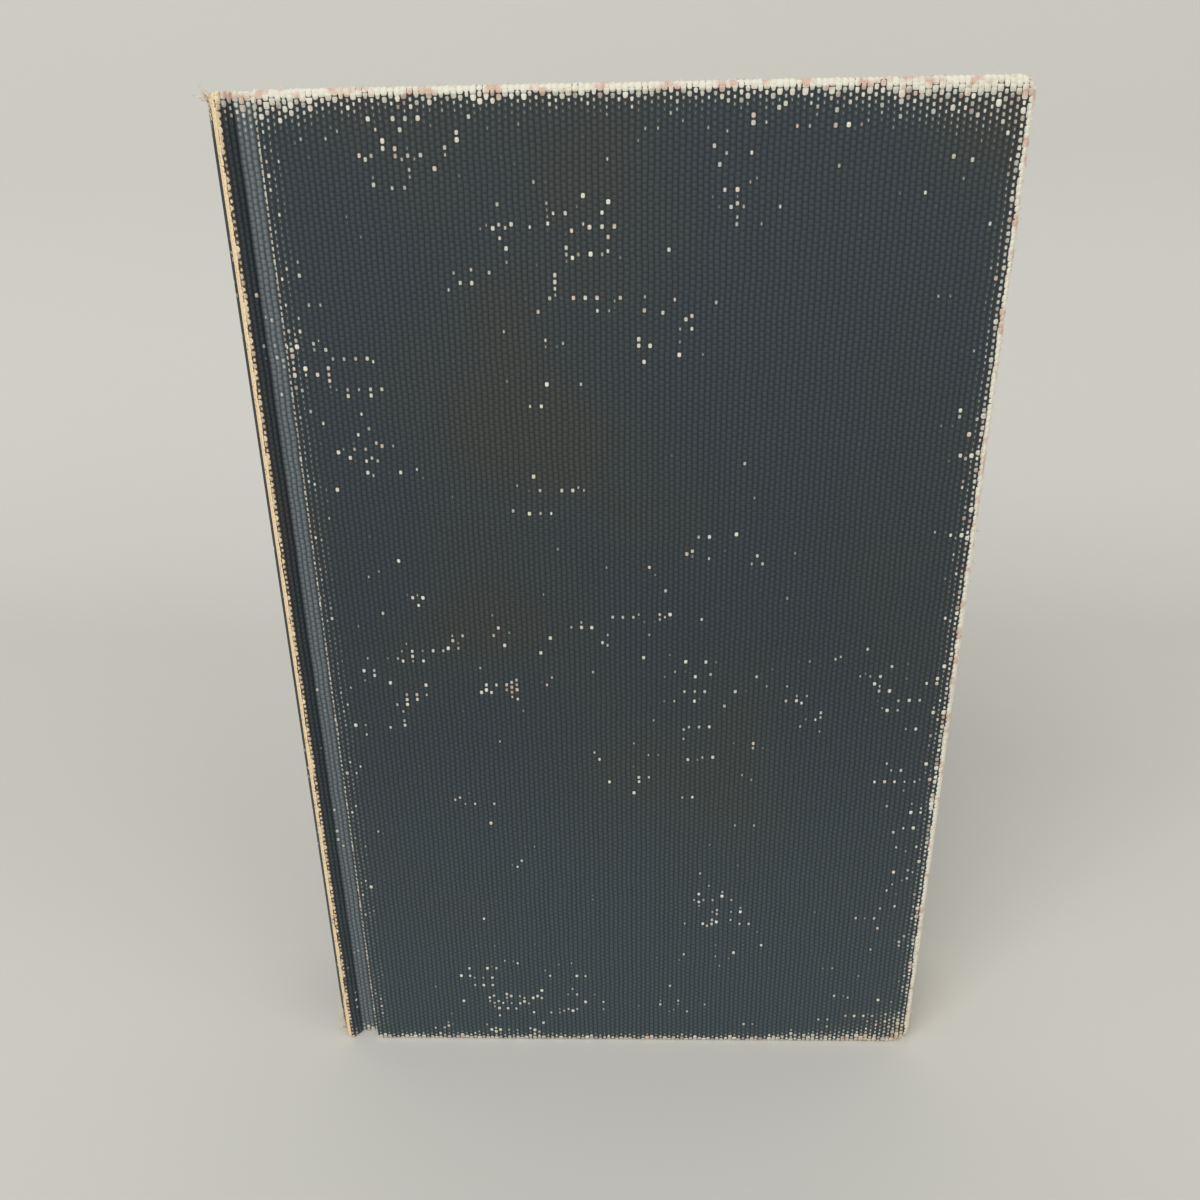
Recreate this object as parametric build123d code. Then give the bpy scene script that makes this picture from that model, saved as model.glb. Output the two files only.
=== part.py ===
from build123d import *
import math
import os

# A case-bound book, closed and standing on its tail edge. All sizes are in millimetres.
# X runs from the spine (-) to the fore-edge (+), Y from the front cover (-) to the back
# cover (+), Z from the tail (0) to the head. The origin is under the middle of the book.
# The book is the same on both sides of the XZ plane, so distances from that plane are
# called "out", and a side of -1 is the front and +1 the back.

# ---------------------------------------------------------------- driving dimensions
BOOK_WIDTH = 134.0          # back of the spine to the covers' fore-edge
BOOK_HEIGHT = 197.0         # tail edge to head edge of the covers
BOOK_THICKNESS = 30.0       # outer face to outer face of the covers

CLOTH_THICKNESS = 0.5       # covering cloth
CLOTH_TURN_IN = 15.0        # cloth folded over each edge of a board
BOARD_THICKNESS = 2.4
BOARD_EDGE_RADIUS = 0.4     # long use has rounded every edge of the boards
HEAD_CORNER_RADIUS = 2.2    # corner of a board between head and fore-edge
TAIL_CORNER_RADIUS = 4.0    # corner between tail and fore-edge, bumped rounder
SQUARE = 3.0                # how far the covers stand out past the leaves

ENDPAPER_THICKNESS = 0.2
PASTEDOWN_MARGIN = 3.5      # cloth left showing round the pasted half of an endpaper
COVER_CLEARANCE = 0.1       # air between a pastedown and the free leaf that faces it

SPINE_RISE = 4.13           # depth of the spine's round, back to shoulder
SHOULDER_INSET = 1.0        # the round stops this far inside the covers' outer faces
RIDGE_SLOPE_LENGTH = 1.75   # from the end of the round to the ridge's sharp corner
RIDGE_RADIUS = 0.9          # rounding of that corner
SHOULDER_WIDTH = 2.97       # from the end of the round to the foot of the shoulder
GROOVE_WIDTH = 4.6          # foot of the shoulder to the edge of the board
GROOVE_CORNER_RADIUS = 0.5

HINGE_FROM_SHOULDER = 0.9   # the cloth bends this far along the floor of the groove
HINGE_STAND_OFF = 0.2       # the axis lies this far outside the cover's outer face
HINGE_GAP = 0.3             # slit between the cloth of the spine and that of a cover

BLOCK_SHOULDER_HEIGHT = 1.7  # how far backing has spread the leaves at the spine
BLOCK_FOOT_SETBACK = 0.3     # the spread ends this far short of the hinge line

INLAY_THICKNESS = 0.5       # thick paper strip inside the cloth of the spine
INLAY_EDGE_SETBACK = 0.5    # the strip stops this short of the end of the round
HOLLOW_GAP = 0.4            # the hollow back between that strip and the lining
LINING_THICKNESS = 0.25
MULL_THICKNESS = 0.25
MULL_END_SETBACK = 13.0     # mull and lining stop this far from head and tail of the leaves
MULL_EDGE_SETBACK = 0.5     # and this far inside the edges of the block's back
MULL_WING_WIDTH = 25.0      # the part of the mull that is glued to each board

SEWING_STATIONS = 5         # rows of stitches across the back
SEWING_END_SETBACK = 17.0   # outer rows from head and tail of the leaves
THREAD_WIDTH = 0.9
THREAD_DEPTH = 0.4

# ---------------------------------------------------------------- places worked out from them
SPINE_X = -BOOK_WIDTH / 2
FORE_EDGE_X = BOOK_WIDTH / 2
COVER_OUT = BOOK_THICKNESS / 2

# The spine is an arc of a circle about a vertical line at ARC_CENTRE_X.
ROUND_END_OUT = COVER_OUT - SHOULDER_INSET
SPINE_RADIUS = (ROUND_END_OUT**2 + SPINE_RISE**2) / (2 * SPINE_RISE)
ARC_CENTRE_X = SPINE_X + SPINE_RADIUS
ROUND_END_X = SPINE_X + SPINE_RISE
ROUND_HALF_ANGLE = math.degrees(math.asin(ROUND_END_OUT / SPINE_RADIUS))

INLAY_OUTER_RADIUS = SPINE_RADIUS - CLOTH_THICKNESS
INLAY_INNER_RADIUS = INLAY_OUTER_RADIUS - INLAY_THICKNESS
TURN_IN_RADIUS = INLAY_INNER_RADIUS - CLOTH_THICKNESS
LINING_OUTER_RADIUS = INLAY_INNER_RADIUS - HOLLOW_GAP
MULL_OUTER_RADIUS = LINING_OUTER_RADIUS - LINING_THICKNESS
BLOCK_RADIUS = MULL_OUTER_RADIUS - MULL_THICKNESS

BOARD_OUTER = COVER_OUT - CLOTH_THICKNESS
BOARD_INNER = BOARD_OUTER - BOARD_THICKNESS
TURN_IN_INNER = BOARD_INNER - CLOTH_THICKNESS
PASTEDOWN_INNER = TURN_IN_INNER - ENDPAPER_THICKNESS
FLYLEAF_OUTER = PASTEDOWN_INNER - COVER_CLEARANCE
BLOCK_OUT = FLYLEAF_OUTER - ENDPAPER_THICKNESS

GROOVE_FLOOR_OUT = BOARD_INNER + CLOTH_THICKNESS
SHOULDER_FOOT_X = ROUND_END_X + SHOULDER_WIDTH
HINGE_X = SHOULDER_FOOT_X + HINGE_FROM_SHOULDER
HINGE_OUT = COVER_OUT + HINGE_STAND_OFF
COVER_START_X = HINGE_X + HINGE_GAP / 2
SPINE_END_X = HINGE_X - HINGE_GAP / 2
BOARD_START_X = SHOULDER_FOOT_X + GROOVE_WIDTH
BOARD_END_X = FORE_EDGE_X - CLOTH_THICKNESS

LEAF_TAIL = SQUARE
LEAF_HEAD = BOOK_HEIGHT - SQUARE
LEAF_FORE_EDGE_X = FORE_EDGE_X - SQUARE
BLOCK_FOOT_X = HINGE_X - BLOCK_FOOT_SETBACK

WINDOW_END_X = BOARD_END_X - CLOTH_TURN_IN
WINDOW_TAIL = CLOTH_THICKNESS + CLOTH_TURN_IN
WINDOW_HEAD = BOOK_HEIGHT - WINDOW_TAIL
MULL_TAIL = LEAF_TAIL + MULL_END_SETBACK
MULL_HEAD = LEAF_HEAD - MULL_END_SETBACK


# ---------------------------------------------------------------- helpers
def slab(side, x_range, out_range, z_range):
    """A box on one side of the book, from its ranges along X, outward and up."""
    x0, x1 = x_range
    y0, y1 = sorted(side * out for out in out_range)
    z0, z1 = z_range
    centre = Pos((x0 + x1) / 2, (y0 + y1) / 2, (z0 + z1) / 2)
    return centre * Box(x1 - x0, y1 - y0, z1 - z0)


def upright(face, z_range):
    """A flat section in the XY plane carried up from one height to another."""
    z0, z1 = z_range
    return Pos(0, 0, z0) * extrude(face, amount=z1 - z0, dir=(0, 0, 1))


def half_angle(radius, out):
    """The angle at the spine's centre between the middle and a point this far out."""
    return math.degrees(math.asin(out / radius))


def arc_point(radius, angle):
    """A point of the spine's circle, at an angle from the middle, front negative."""
    turn = math.radians(angle)
    return (ARC_CENTRE_X - radius * math.cos(turn), radius * math.sin(turn))


def arc_band(outer_radius, inner_radius, angle):
    """The section of a layer that follows the round of the spine, angle each way."""
    outline = Wire(
        [
            ThreePointArc(
                arc_point(outer_radius, -angle),
                arc_point(outer_radius, 0),
                arc_point(outer_radius, angle),
            ),
            Line(arc_point(outer_radius, angle), arc_point(inner_radius, angle)),
            ThreePointArc(
                arc_point(inner_radius, angle),
                arc_point(inner_radius, 0),
                arc_point(inner_radius, -angle),
            ),
            Line(arc_point(inner_radius, -angle), arc_point(outer_radius, -angle)),
        ]
    )
    return Face(outline)


def inlay_half_angle():
    """How far round the spine the inlay reaches, each way."""
    setback = math.degrees(INLAY_EDGE_SETBACK / SPINE_RADIUS)
    return ROUND_HALF_ANGLE - setback


def rounded_plate(side, x_range, out_range, z_range, head_radius, tail_radius):
    """A slab whose two corners at the fore-edge are rounded."""
    plate = slab(side, x_range, out_range, z_range)
    corners = plate.edges().filter_by(Axis.Y).group_by(Axis.X)[-1].sort_by(Axis.Z)
    plate = fillet(corners[0], tail_radius)
    corners = plate.edges().filter_by(Axis.Y).group_by(Axis.Z)[-1].sort_by(Axis.X)
    return fillet(corners[-1], head_radius)


# ---------------------------------------------------------------- leaves and back
def block_section():
    """The leaves from above: round back, spread shoulders and hollow fore-edge."""
    tip_out = BLOCK_OUT + BLOCK_SHOULDER_HEIGHT
    tip_angle = half_angle(BLOCK_RADIUS, tip_out)
    tip_front = arc_point(BLOCK_RADIUS, -tip_angle)
    tip_back = arc_point(BLOCK_RADIUS, tip_angle)
    # Every leaf has the same width, so the fore-edge repeats the round of the back.
    hollow = BLOCK_RADIUS - math.sqrt(BLOCK_RADIUS**2 - BLOCK_OUT**2)
    outline = Wire(
        [
            ThreePointArc(tip_front, arc_point(BLOCK_RADIUS, 0), tip_back),
            Line(tip_back, (BLOCK_FOOT_X, BLOCK_OUT)),
            Line((BLOCK_FOOT_X, BLOCK_OUT), (LEAF_FORE_EDGE_X, BLOCK_OUT)),
            ThreePointArc(
                (LEAF_FORE_EDGE_X, BLOCK_OUT),
                (LEAF_FORE_EDGE_X - hollow, 0),
                (LEAF_FORE_EDGE_X, -BLOCK_OUT),
            ),
            Line((LEAF_FORE_EDGE_X, -BLOCK_OUT), (BLOCK_FOOT_X, -BLOCK_OUT)),
            Line((BLOCK_FOOT_X, -BLOCK_OUT), tip_front),
        ]
    )
    return Face(outline)


def make_sewing_thread():
    """Rows of stitches, each in a sawn groove across the back of the leaves."""
    angle = half_angle(BLOCK_RADIUS, BLOCK_OUT)
    course = arc_band(BLOCK_RADIUS, BLOCK_RADIUS - THREAD_DEPTH, angle)
    lowest = LEAF_TAIL + SEWING_END_SETBACK
    highest = LEAF_HEAD - SEWING_END_SETBACK
    step = (highest - lowest) / (SEWING_STATIONS - 1)
    rows = []
    for station in range(SEWING_STATIONS):
        middle = lowest + station * step
        rows.append(upright(course, (middle - THREAD_WIDTH / 2, middle + THREAD_WIDTH / 2)))
    return rows


def make_text_block(thread_rows):
    """The trimmed leaves as one solid, with the grooves that hold the thread."""
    block = upright(block_section(), (LEAF_TAIL, LEAF_HEAD))
    for row in thread_rows:
        block -= row
    return block


def make_back_layer(outer_radius, inner_radius):
    """Mull or lining glued round the back of the leaves."""
    widest = BLOCK_OUT + BLOCK_SHOULDER_HEIGHT - MULL_EDGE_SETBACK
    section = arc_band(outer_radius, inner_radius, half_angle(BLOCK_RADIUS, widest))
    return upright(section, (MULL_TAIL, MULL_HEAD))


def make_flyleaf(side):
    """The free half of an endpaper, lying on the leaves."""
    return slab(
        side,
        (BLOCK_FOOT_X, LEAF_FORE_EDGE_X),
        (BLOCK_OUT, FLYLEAF_OUTER),
        (LEAF_TAIL, LEAF_HEAD),
    )


# ---------------------------------------------------------------- spine of the case
def make_spine_inlay():
    """The thick paper strip that keeps the cloth of the spine in shape."""
    section = arc_band(INLAY_OUTER_RADIUS, INLAY_INNER_RADIUS, inlay_half_angle())
    return upright(section, (CLOTH_THICKNESS, BOOK_HEIGHT - CLOTH_THICKNESS))


def spine_cloth_section():
    """Cloth round the spine, over both shoulder ridges and down into the grooves."""
    tangent = math.radians(ROUND_HALF_ANGLE)
    ridge_x = ROUND_END_X + RIDGE_SLOPE_LENGTH * math.sin(tangent)
    ridge_out = ROUND_END_OUT + RIDGE_SLOPE_LENGTH * math.cos(tangent)
    ridges = [(ridge_x, -ridge_out), (ridge_x, ridge_out)]
    feet = [(SHOULDER_FOOT_X, -GROOVE_FLOOR_OUT), (SHOULDER_FOOT_X, GROOVE_FLOOR_OUT)]
    ends = [(SPINE_END_X, -GROOVE_FLOOR_OUT), (SPINE_END_X, GROOVE_FLOOR_OUT)]
    front_round = (ROUND_END_X, -ROUND_END_OUT)
    back_round = (ROUND_END_X, ROUND_END_OUT)
    outline = Wire(
        [
            ThreePointArc(front_round, (SPINE_X, 0), back_round),
            Line(back_round, ridges[1]),
            Line(ridges[1], feet[1]),
            Line(feet[1], ends[1]),
            Line(ends[1], ends[0]),
            Line(ends[0], feet[0]),
            Line(feet[0], ridges[0]),
            Line(ridges[0], front_round),
        ]
    )
    outer = Sketch() + Face(outline)
    outer = round_corners(outer, ridges, RIDGE_RADIUS)
    outer = round_corners(outer, feet, GROOVE_CORNER_RADIUS)
    inner = offset(outer, -CLOTH_THICKNESS)
    mouth_out = GROOVE_FLOOR_OUT - CLOTH_THICKNESS
    mouth = Pos(SPINE_END_X, 0) * Rectangle(2 * CLOTH_THICKNESS, 2 * mouth_out)
    return outer - inner - mouth


def round_corners(sketch, points, radius):
    """Rounds the corners of a flat section that lie at the points given."""
    found = []
    for x, y in points:
        nearest = sketch.vertices().sort_by_distance(Vector(x, y, 0))[0]
        found.append(nearest)
    return fillet(found, radius)


def make_spine_cloth():
    """The spine's share of the covering cloth, turned in over the inlay at both ends."""
    cloth = upright(spine_cloth_section(), (0, BOOK_HEIGHT))
    cap = arc_band(SPINE_RADIUS, TURN_IN_RADIUS, inlay_half_angle())
    turn_in = arc_band(INLAY_INNER_RADIUS, TURN_IN_RADIUS, inlay_half_angle())
    head_start = BOOK_HEIGHT - CLOTH_THICKNESS
    cloth += upright(cap, (0, CLOTH_THICKNESS))
    cloth += upright(turn_in, (CLOTH_THICKNESS, WINDOW_TAIL))
    cloth += upright(cap, (head_start, BOOK_HEIGHT))
    cloth += upright(turn_in, (WINDOW_HEAD, head_start))
    return cloth


# ---------------------------------------------------------------- covers
def make_board(side):
    """A cover board with worn, slightly rounded edges and corners."""
    board = rounded_plate(
        side,
        (BOARD_START_X, BOARD_END_X),
        (BOARD_INNER, BOARD_OUTER),
        (CLOTH_THICKNESS, BOOK_HEIGHT - CLOTH_THICKNESS),
        HEAD_CORNER_RADIUS,
        TAIL_CORNER_RADIUS,
    )
    faces = board.faces().sort_by(Axis.Y)
    outer_face = faces[0] if side < 0 else faces[-1]
    return fillet(outer_face.edges(), BOARD_EDGE_RADIUS)


def make_cover_cloth(side, board):
    """A cover's share of the cloth: outer face, edges, turn-ins and the groove's floor."""
    cloth = rounded_plate(
        side,
        (BOARD_START_X - CLOTH_THICKNESS, FORE_EDGE_X),
        (TURN_IN_INNER, COVER_OUT),
        (0, BOOK_HEIGHT),
        HEAD_CORNER_RADIUS + CLOTH_THICKNESS,
        TAIL_CORNER_RADIUS + CLOTH_THICKNESS,
    )
    faces = cloth.faces().sort_by(Axis.Y)
    outer_face = faces[0] if side < 0 else faces[-1]
    cloth = fillet(outer_face.edges(), BOARD_EDGE_RADIUS + CLOTH_THICKNESS)
    cloth += slab(
        side,
        (COVER_START_X, BOARD_START_X),
        (TURN_IN_INNER, GROOVE_FLOOR_OUT),
        (0, BOOK_HEIGHT),
    )
    window = slab(
        side,
        (COVER_START_X, WINDOW_END_X),
        (TURN_IN_INNER, BOARD_INNER),
        (WINDOW_TAIL, WINDOW_HEAD),
    )
    return cloth - board - window


def make_mull_wing(side):
    """The edge of the mull, glued to the inside of the groove and the board."""
    return slab(
        side,
        (COVER_START_X, HINGE_X + MULL_WING_WIDTH),
        (BOARD_INNER - MULL_THICKNESS, BOARD_INNER),
        (MULL_TAIL, MULL_HEAD),
    )


def make_pastedown(side, mull_wing):
    """The pasted half of an endpaper, stepping down from the turn-ins to the board."""
    paper = ENDPAPER_THICKNESS
    sheet = slab(
        side,
        (COVER_START_X, FORE_EDGE_X - PASTEDOWN_MARGIN),
        (PASTEDOWN_INNER, TURN_IN_INNER),
        (PASTEDOWN_MARGIN, BOOK_HEIGHT - PASTEDOWN_MARGIN),
    )
    sheet += slab(
        side,
        (COVER_START_X, WINDOW_END_X),
        (TURN_IN_INNER, BOARD_INNER),
        (WINDOW_TAIL, WINDOW_HEAD),
    )
    recess = slab(
        side,
        (COVER_START_X, WINDOW_END_X - paper),
        (PASTEDOWN_INNER, BOARD_INNER - paper),
        (WINDOW_TAIL + paper, WINDOW_HEAD - paper),
    )
    over_mull = slab(
        side,
        (COVER_START_X, HINGE_X + MULL_WING_WIDTH + paper),
        (BOARD_INNER - MULL_THICKNESS - paper, BOARD_INNER),
        (MULL_TAIL - paper, MULL_HEAD + paper),
    )
    return sheet - (recess - over_mull) - mull_wing


# ---------------------------------------------------------------- the whole book
def make_nodes():
    """Every piece of the book by its node name."""
    thread_rows = make_sewing_thread()
    nodes = {
        "text_block": make_text_block(thread_rows),
        "sewing_thread": Compound(children=thread_rows),
        "mull": make_back_layer(MULL_OUTER_RADIUS, BLOCK_RADIUS),
        "spine_lining": make_back_layer(LINING_OUTER_RADIUS, MULL_OUTER_RADIUS),
        "spine_inlay": make_spine_inlay(),
        "spine_cloth": make_spine_cloth(),
    }
    for name, side in (("front", -1), ("back", 1)):
        board = make_board(side)
        mull_wing = make_mull_wing(side)
        nodes[f"{name}_board"] = board
        nodes[f"{name}_cover_cloth"] = make_cover_cloth(side, board)
        nodes[f"{name}_mull_wing"] = mull_wing
        nodes[f"{name}_pastedown"] = make_pastedown(side, mull_wing)
        nodes[f"{name}_flyleaf"] = make_flyleaf(side)
    return nodes


os.makedirs("parts", exist_ok=True)
for node_name, shape in make_nodes().items():
    export_step(shape, f"parts/{node_name}.step")
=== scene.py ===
"""A hardback book in worn ribbed cloth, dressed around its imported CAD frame.

The covering cloth, the endpapers, the leaves and the loose worn threads are built as
meshes around the frame. The boards, linings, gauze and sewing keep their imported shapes
and are given finishes. Sizes are in metres, +Z from tail to head, +X from spine to
fore-edge, and the front cover faces -Y. "Out" is the distance from the book's middle
plane, on either side.
"""

import logging
import math
from dataclasses import dataclass
from enum import Enum
from typing import Any, Sequence

import bpy
import numpy as np
from mathutils import Matrix, Vector


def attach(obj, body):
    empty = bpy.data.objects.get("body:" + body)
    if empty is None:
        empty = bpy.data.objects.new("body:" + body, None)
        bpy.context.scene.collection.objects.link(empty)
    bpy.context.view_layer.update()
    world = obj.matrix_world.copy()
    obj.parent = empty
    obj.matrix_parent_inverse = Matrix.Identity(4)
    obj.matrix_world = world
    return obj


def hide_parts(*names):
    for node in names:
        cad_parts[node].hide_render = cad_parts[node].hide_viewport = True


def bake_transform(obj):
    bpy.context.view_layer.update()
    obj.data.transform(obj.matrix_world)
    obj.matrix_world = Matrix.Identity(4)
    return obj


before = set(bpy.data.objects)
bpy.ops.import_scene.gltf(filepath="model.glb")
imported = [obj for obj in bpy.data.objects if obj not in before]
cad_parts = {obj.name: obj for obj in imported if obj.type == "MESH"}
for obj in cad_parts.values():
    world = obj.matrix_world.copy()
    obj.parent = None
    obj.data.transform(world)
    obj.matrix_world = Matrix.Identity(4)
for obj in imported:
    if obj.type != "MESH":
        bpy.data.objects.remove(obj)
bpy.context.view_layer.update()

Array = np.ndarray
Colour = tuple[float, float, float]
Value = Any

LOG = logging.getLogger("book")
ROOT = "text_block_and_spine"
WEAVE_MAP = "Weave"
WEAR = "wear"
TAN = "tan"
# Attribute for the paler grey-blue band over the groove's floor.
PALE_BAND = "fade"
MM = 0.001


class Side(Enum):
    """The two covers; the value is the sign of the way that each one faces along Y."""

    FRONT = -1
    BACK = 1

    @property
    def label(self) -> str:
        """The word that the side's CAD nodes begin with."""
        return self.name.lower()

    @property
    def body(self) -> str:
        """The CAD body that the side's cover is."""
        return f"{self.label}_cover"


class Ground(Enum):
    """What a paper or board finish is drawn by: its own map, or its place in the book."""

    MAP = "map"
    PLACE = "place"


def smoothstep(value: Array, low: float, high: float) -> Array:
    """Rises smoothly from 0 at low to 1 at high, as 3t^2 - 2t^3.

    Args:
        value: The values to read.
        low: Where the rise starts.
        high: Where it ends.

    Returns:
        An array of the same shape, from 0 to 1.
    """
    share = np.clip((value - low) / (high - low), 0.0, 1.0)
    return share * share * (3.0 - 2.0 * share)


def linear(red: int, green: int, blue: int) -> Colour:
    """Turns a display colour from 0 to 255 into the linear colour a shader takes.

    Args:
        red: Red, 0 to 255.
        green: Green, 0 to 255.
        blue: Blue, 0 to 255.

    Returns:
        The same colour as three linear parts from 0 to 1.
    """
    parts = np.array([red, green, blue]) / 255.0
    low = parts / 12.92
    high = ((parts + 0.055) / 1.055) ** 2.4
    return tuple(float(part) for part in np.where(parts <= 0.04045, low, high))


def grid_faces(rows: int, columns: int) -> Array:
    """Quads between neighbouring points of a grid stored row after row.

    Args:
        rows: Number of rows of points.
        columns: Number of points in each row.

    Returns:
        An array of four point numbers for each quad.
    """
    index = np.arange(rows * columns).reshape(rows, columns)
    corners = [index[:-1, :-1], index[:-1, 1:], index[1:, 1:], index[1:, :-1]]
    return np.stack(corners, axis=-1).reshape(-1, 4)


def rounded_corner(before: Array, corner: Array, after: Array, radius: float) -> Array:
    """Points of the arc that touches both runs that meet at a corner.

    The arc's centre lies on the corner's bisector at radius / sin(half angle), and the
    points turn evenly from one touching point to the other.

    Args:
        before: The point before the corner.
        corner: The corner itself.
        after: The point after it.
        radius: The arc's radius.

    Returns:
        The arc's points in order, as an array of shape (n, 2).
    """
    back = (before - corner) / np.linalg.norm(before - corner)
    ahead = (after - corner) / np.linalg.norm(after - corner)
    half = 0.5 * math.acos(float(np.clip(back @ ahead, -1.0, 1.0)))
    reach = radius / math.tan(half)
    middle = (back + ahead) / np.linalg.norm(back + ahead)
    centre = corner + middle * radius / math.sin(half)
    first = corner + back * reach - centre
    last = corner + ahead * reach - centre
    share = np.linspace(0.0, 1.0, 13)[:, None]
    opening = math.pi - 2.0 * half
    blended = np.sin((1.0 - share) * opening) * first + np.sin(share * opening) * last
    return centre + blended / math.sin(opening)


def soft_noise(place: Array, seed: int) -> Array:
    """A smooth wandering value along one direction, from -1 to 1.

    It is the mean of five sine waves whose lengths shrink by 1.7 each time and whose
    starts come from the seed.

    Args:
        place: Where to read it, in wavelengths of the longest wave.
        seed: Which wandering it is.

    Returns:
        An array shaped as place.
    """
    starts = np.random.default_rng(seed).uniform(0.0, 2.0 * math.pi, 5)
    waves = [np.sin(2.0 * math.pi * place * 1.7**k + starts[k]) / (1.0 + 0.5 * k) for k in range(5)]
    return np.sum(waves, axis=0) / 3.2


def make_piece(name: str, points: Array, faces: Array, flip: bool = False) -> bpy.types.Object:
    """Makes a smooth-shaded mesh object at the origin from arrays.

    Args:
        name: The piece's name.
        points: Its points, shape (n, 3).
        faces: Its quads, shape (m, 4).
        flip: Whether every face is turned over.

    Returns:
        The new object, linked to the scene.
    """
    turned = faces[:, ::-1] if flip else faces
    mesh = bpy.data.meshes.new(name)
    mesh.from_pydata(points.tolist(), [], turned.tolist())
    mesh.polygons.foreach_set("use_smooth", np.ones(len(turned), dtype=bool))
    mesh.update()
    piece = bpy.data.objects.new(name, mesh)
    bpy.context.scene.collection.objects.link(piece)
    return piece


def store_map(piece: bpy.types.Object, places: Array) -> None:
    """Stores one map place for each point as the piece's weave map.

    Args:
        piece: The mesh object.
        places: Across and along, in metres, shape (n, 2).
    """
    mesh = piece.data
    owner = np.zeros(len(mesh.loops), dtype=np.int32)
    mesh.loops.foreach_get("vertex_index", owner)
    layer = mesh.uv_layers.new(name=WEAVE_MAP)
    layer.data.foreach_set("uv", places[owner].astype(np.float32).ravel())


def store_values(piece: bpy.types.Object, name: str, values: Array) -> None:
    """Stores one number for each point as a named attribute.

    Args:
        piece: The mesh object.
        name: The attribute's name.
        values: The numbers, shape (n,).
    """
    attribute = piece.data.attributes.new(name, "FLOAT", "POINT")
    attribute.data.foreach_set("value", values.astype(np.float32))


class Wiring:
    """A short hand for adding the nodes of one tree and joining them."""

    def __init__(self, tree: bpy.types.NodeTree) -> None:
        """Keeps the tree that the nodes go into."""
        self.tree = tree

    def add(self, kind: str, *values: Value, **settings: Value) -> bpy.types.Node:
        """Adds a node, sets its properties and feeds its first inputs.

        Args:
            kind: The node's type name.
            values: Sockets or constants for its inputs, in order; None skips one.
            settings: Its properties by name.

        Returns:
            The new node.
        """
        node = self.tree.nodes.new(kind)
        for name, setting in settings.items():
            setattr(node, name, setting)
        for place, value in enumerate(values):
            self.feed(node.inputs[place], value)
        return node

    def feed(self, socket: bpy.types.NodeSocket, value: Value) -> None:
        """Joins a socket to another one, or sets its constant.

        Args:
            socket: The input to feed.
            value: An output socket, a constant, or None to leave it.
        """
        if value is None:
            return
        if isinstance(value, bpy.types.NodeSocket):
            self.tree.links.new(value, socket)
            return
        if socket.type == "RGBA":
            socket.default_value = (*value, 1.0)
            return
        socket.default_value = value

    def math(self, operation: str, *values: Value, clamp: bool = False) -> bpy.types.NodeSocket:
        """Adds a Math node and returns its result."""
        return self.add("ShaderNodeMath", *values, operation=operation, use_clamp=clamp).outputs[0]

    def rise(self, value: Value, low: Value, high: Value) -> bpy.types.NodeSocket:
        """A smooth rise from 0 at low to 1 at high."""
        settings = {"interpolation_type": "SMOOTHSTEP"}
        return self.add("ShaderNodeMapRange", value, low, high, 0.0, 1.0, **settings).outputs[0]

    def mix(self, share: Value, first: Value, second: Value) -> bpy.types.NodeSocket:
        """Mixes two colours by a share from 0 to 1."""
        node = self.tree.nodes.new("ShaderNodeMix")
        node.data_type = "RGBA"
        self.feed(node.inputs[0], share)
        self.feed(node.inputs[6], first)
        self.feed(node.inputs[7], second)
        return node.outputs[2]

    def vector(self, across: Value, along: Value, depth: Value = 0.0) -> bpy.types.NodeSocket:
        """Puts three numbers together as a vector."""
        return self.add("ShaderNodeCombineXYZ", across, along, depth).outputs[0]

    def parts(self, vector: Value) -> Sequence[bpy.types.NodeSocket]:
        """Takes a vector apart into its three numbers."""
        return self.add("ShaderNodeSeparateXYZ", vector).outputs

    def noise(self, vector: Value, scale: float, detail: float = 2.0) -> bpy.types.NodeSocket:
        """Smooth noise from 0 to 1 at a number of features for each unit."""
        node = self.add("ShaderNodeTexNoise", vector)
        node.inputs["Scale"].default_value = scale
        node.inputs["Detail"].default_value = detail
        return node.outputs[0]

    def chance(self, vector: Value) -> bpy.types.NodeSocket:
        """A random number from 0 to 1 for each value of a vector."""
        return self.add("ShaderNodeTexWhiteNoise", vector, noise_dimensions="3D").outputs[0]

    def attribute(self, name: str) -> bpy.types.NodeSocket:
        """Reads a mesh attribute's number."""
        return self.add("ShaderNodeAttribute", attribute_name=name).outputs["Fac"]

    def map_place(self) -> bpy.types.NodeSocket:
        """Reads the piece's own weave map."""
        return self.add("ShaderNodeUVMap", uv_map=WEAVE_MAP).outputs[0]

    def body_place(self) -> bpy.types.NodeSocket:
        """Reads the place in the book, in metres."""
        return self.add("ShaderNodeTexCoord").outputs["Object"]

    def group(self, tree: bpy.types.NodeTree, **values: Value) -> bpy.types.Node:
        """Places a node group and feeds its inputs by name, with _ for a space."""
        node = self.add("ShaderNodeGroup", node_tree=tree)
        for name, value in values.items():
            self.feed(node.inputs[name.replace("_", " ")], value)
        return node


def new_group(name: str, inputs: dict[str, str], outputs: dict[str, str]) -> tuple[Wiring, Any, Any]:
    """Starts a shader node group with named sockets.

    Args:
        name: The group's name.
        inputs: Socket kind by input name.
        outputs: Socket kind by output name.

    Returns:
        The wiring of the new tree, its input node and its output node.
    """
    tree = bpy.data.node_groups.new(name, "ShaderNodeTree")
    for label, kind in inputs.items():
        tree.interface.new_socket(name=label, in_out="INPUT", socket_type=f"NodeSocket{kind}")
    for label, kind in outputs.items():
        tree.interface.new_socket(name=label, in_out="OUTPUT", socket_type=f"NodeSocket{kind}")
    wiring = Wiring(tree)
    return wiring, wiring.add("NodeGroupInput"), wiring.add("NodeGroupOutput")


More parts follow.
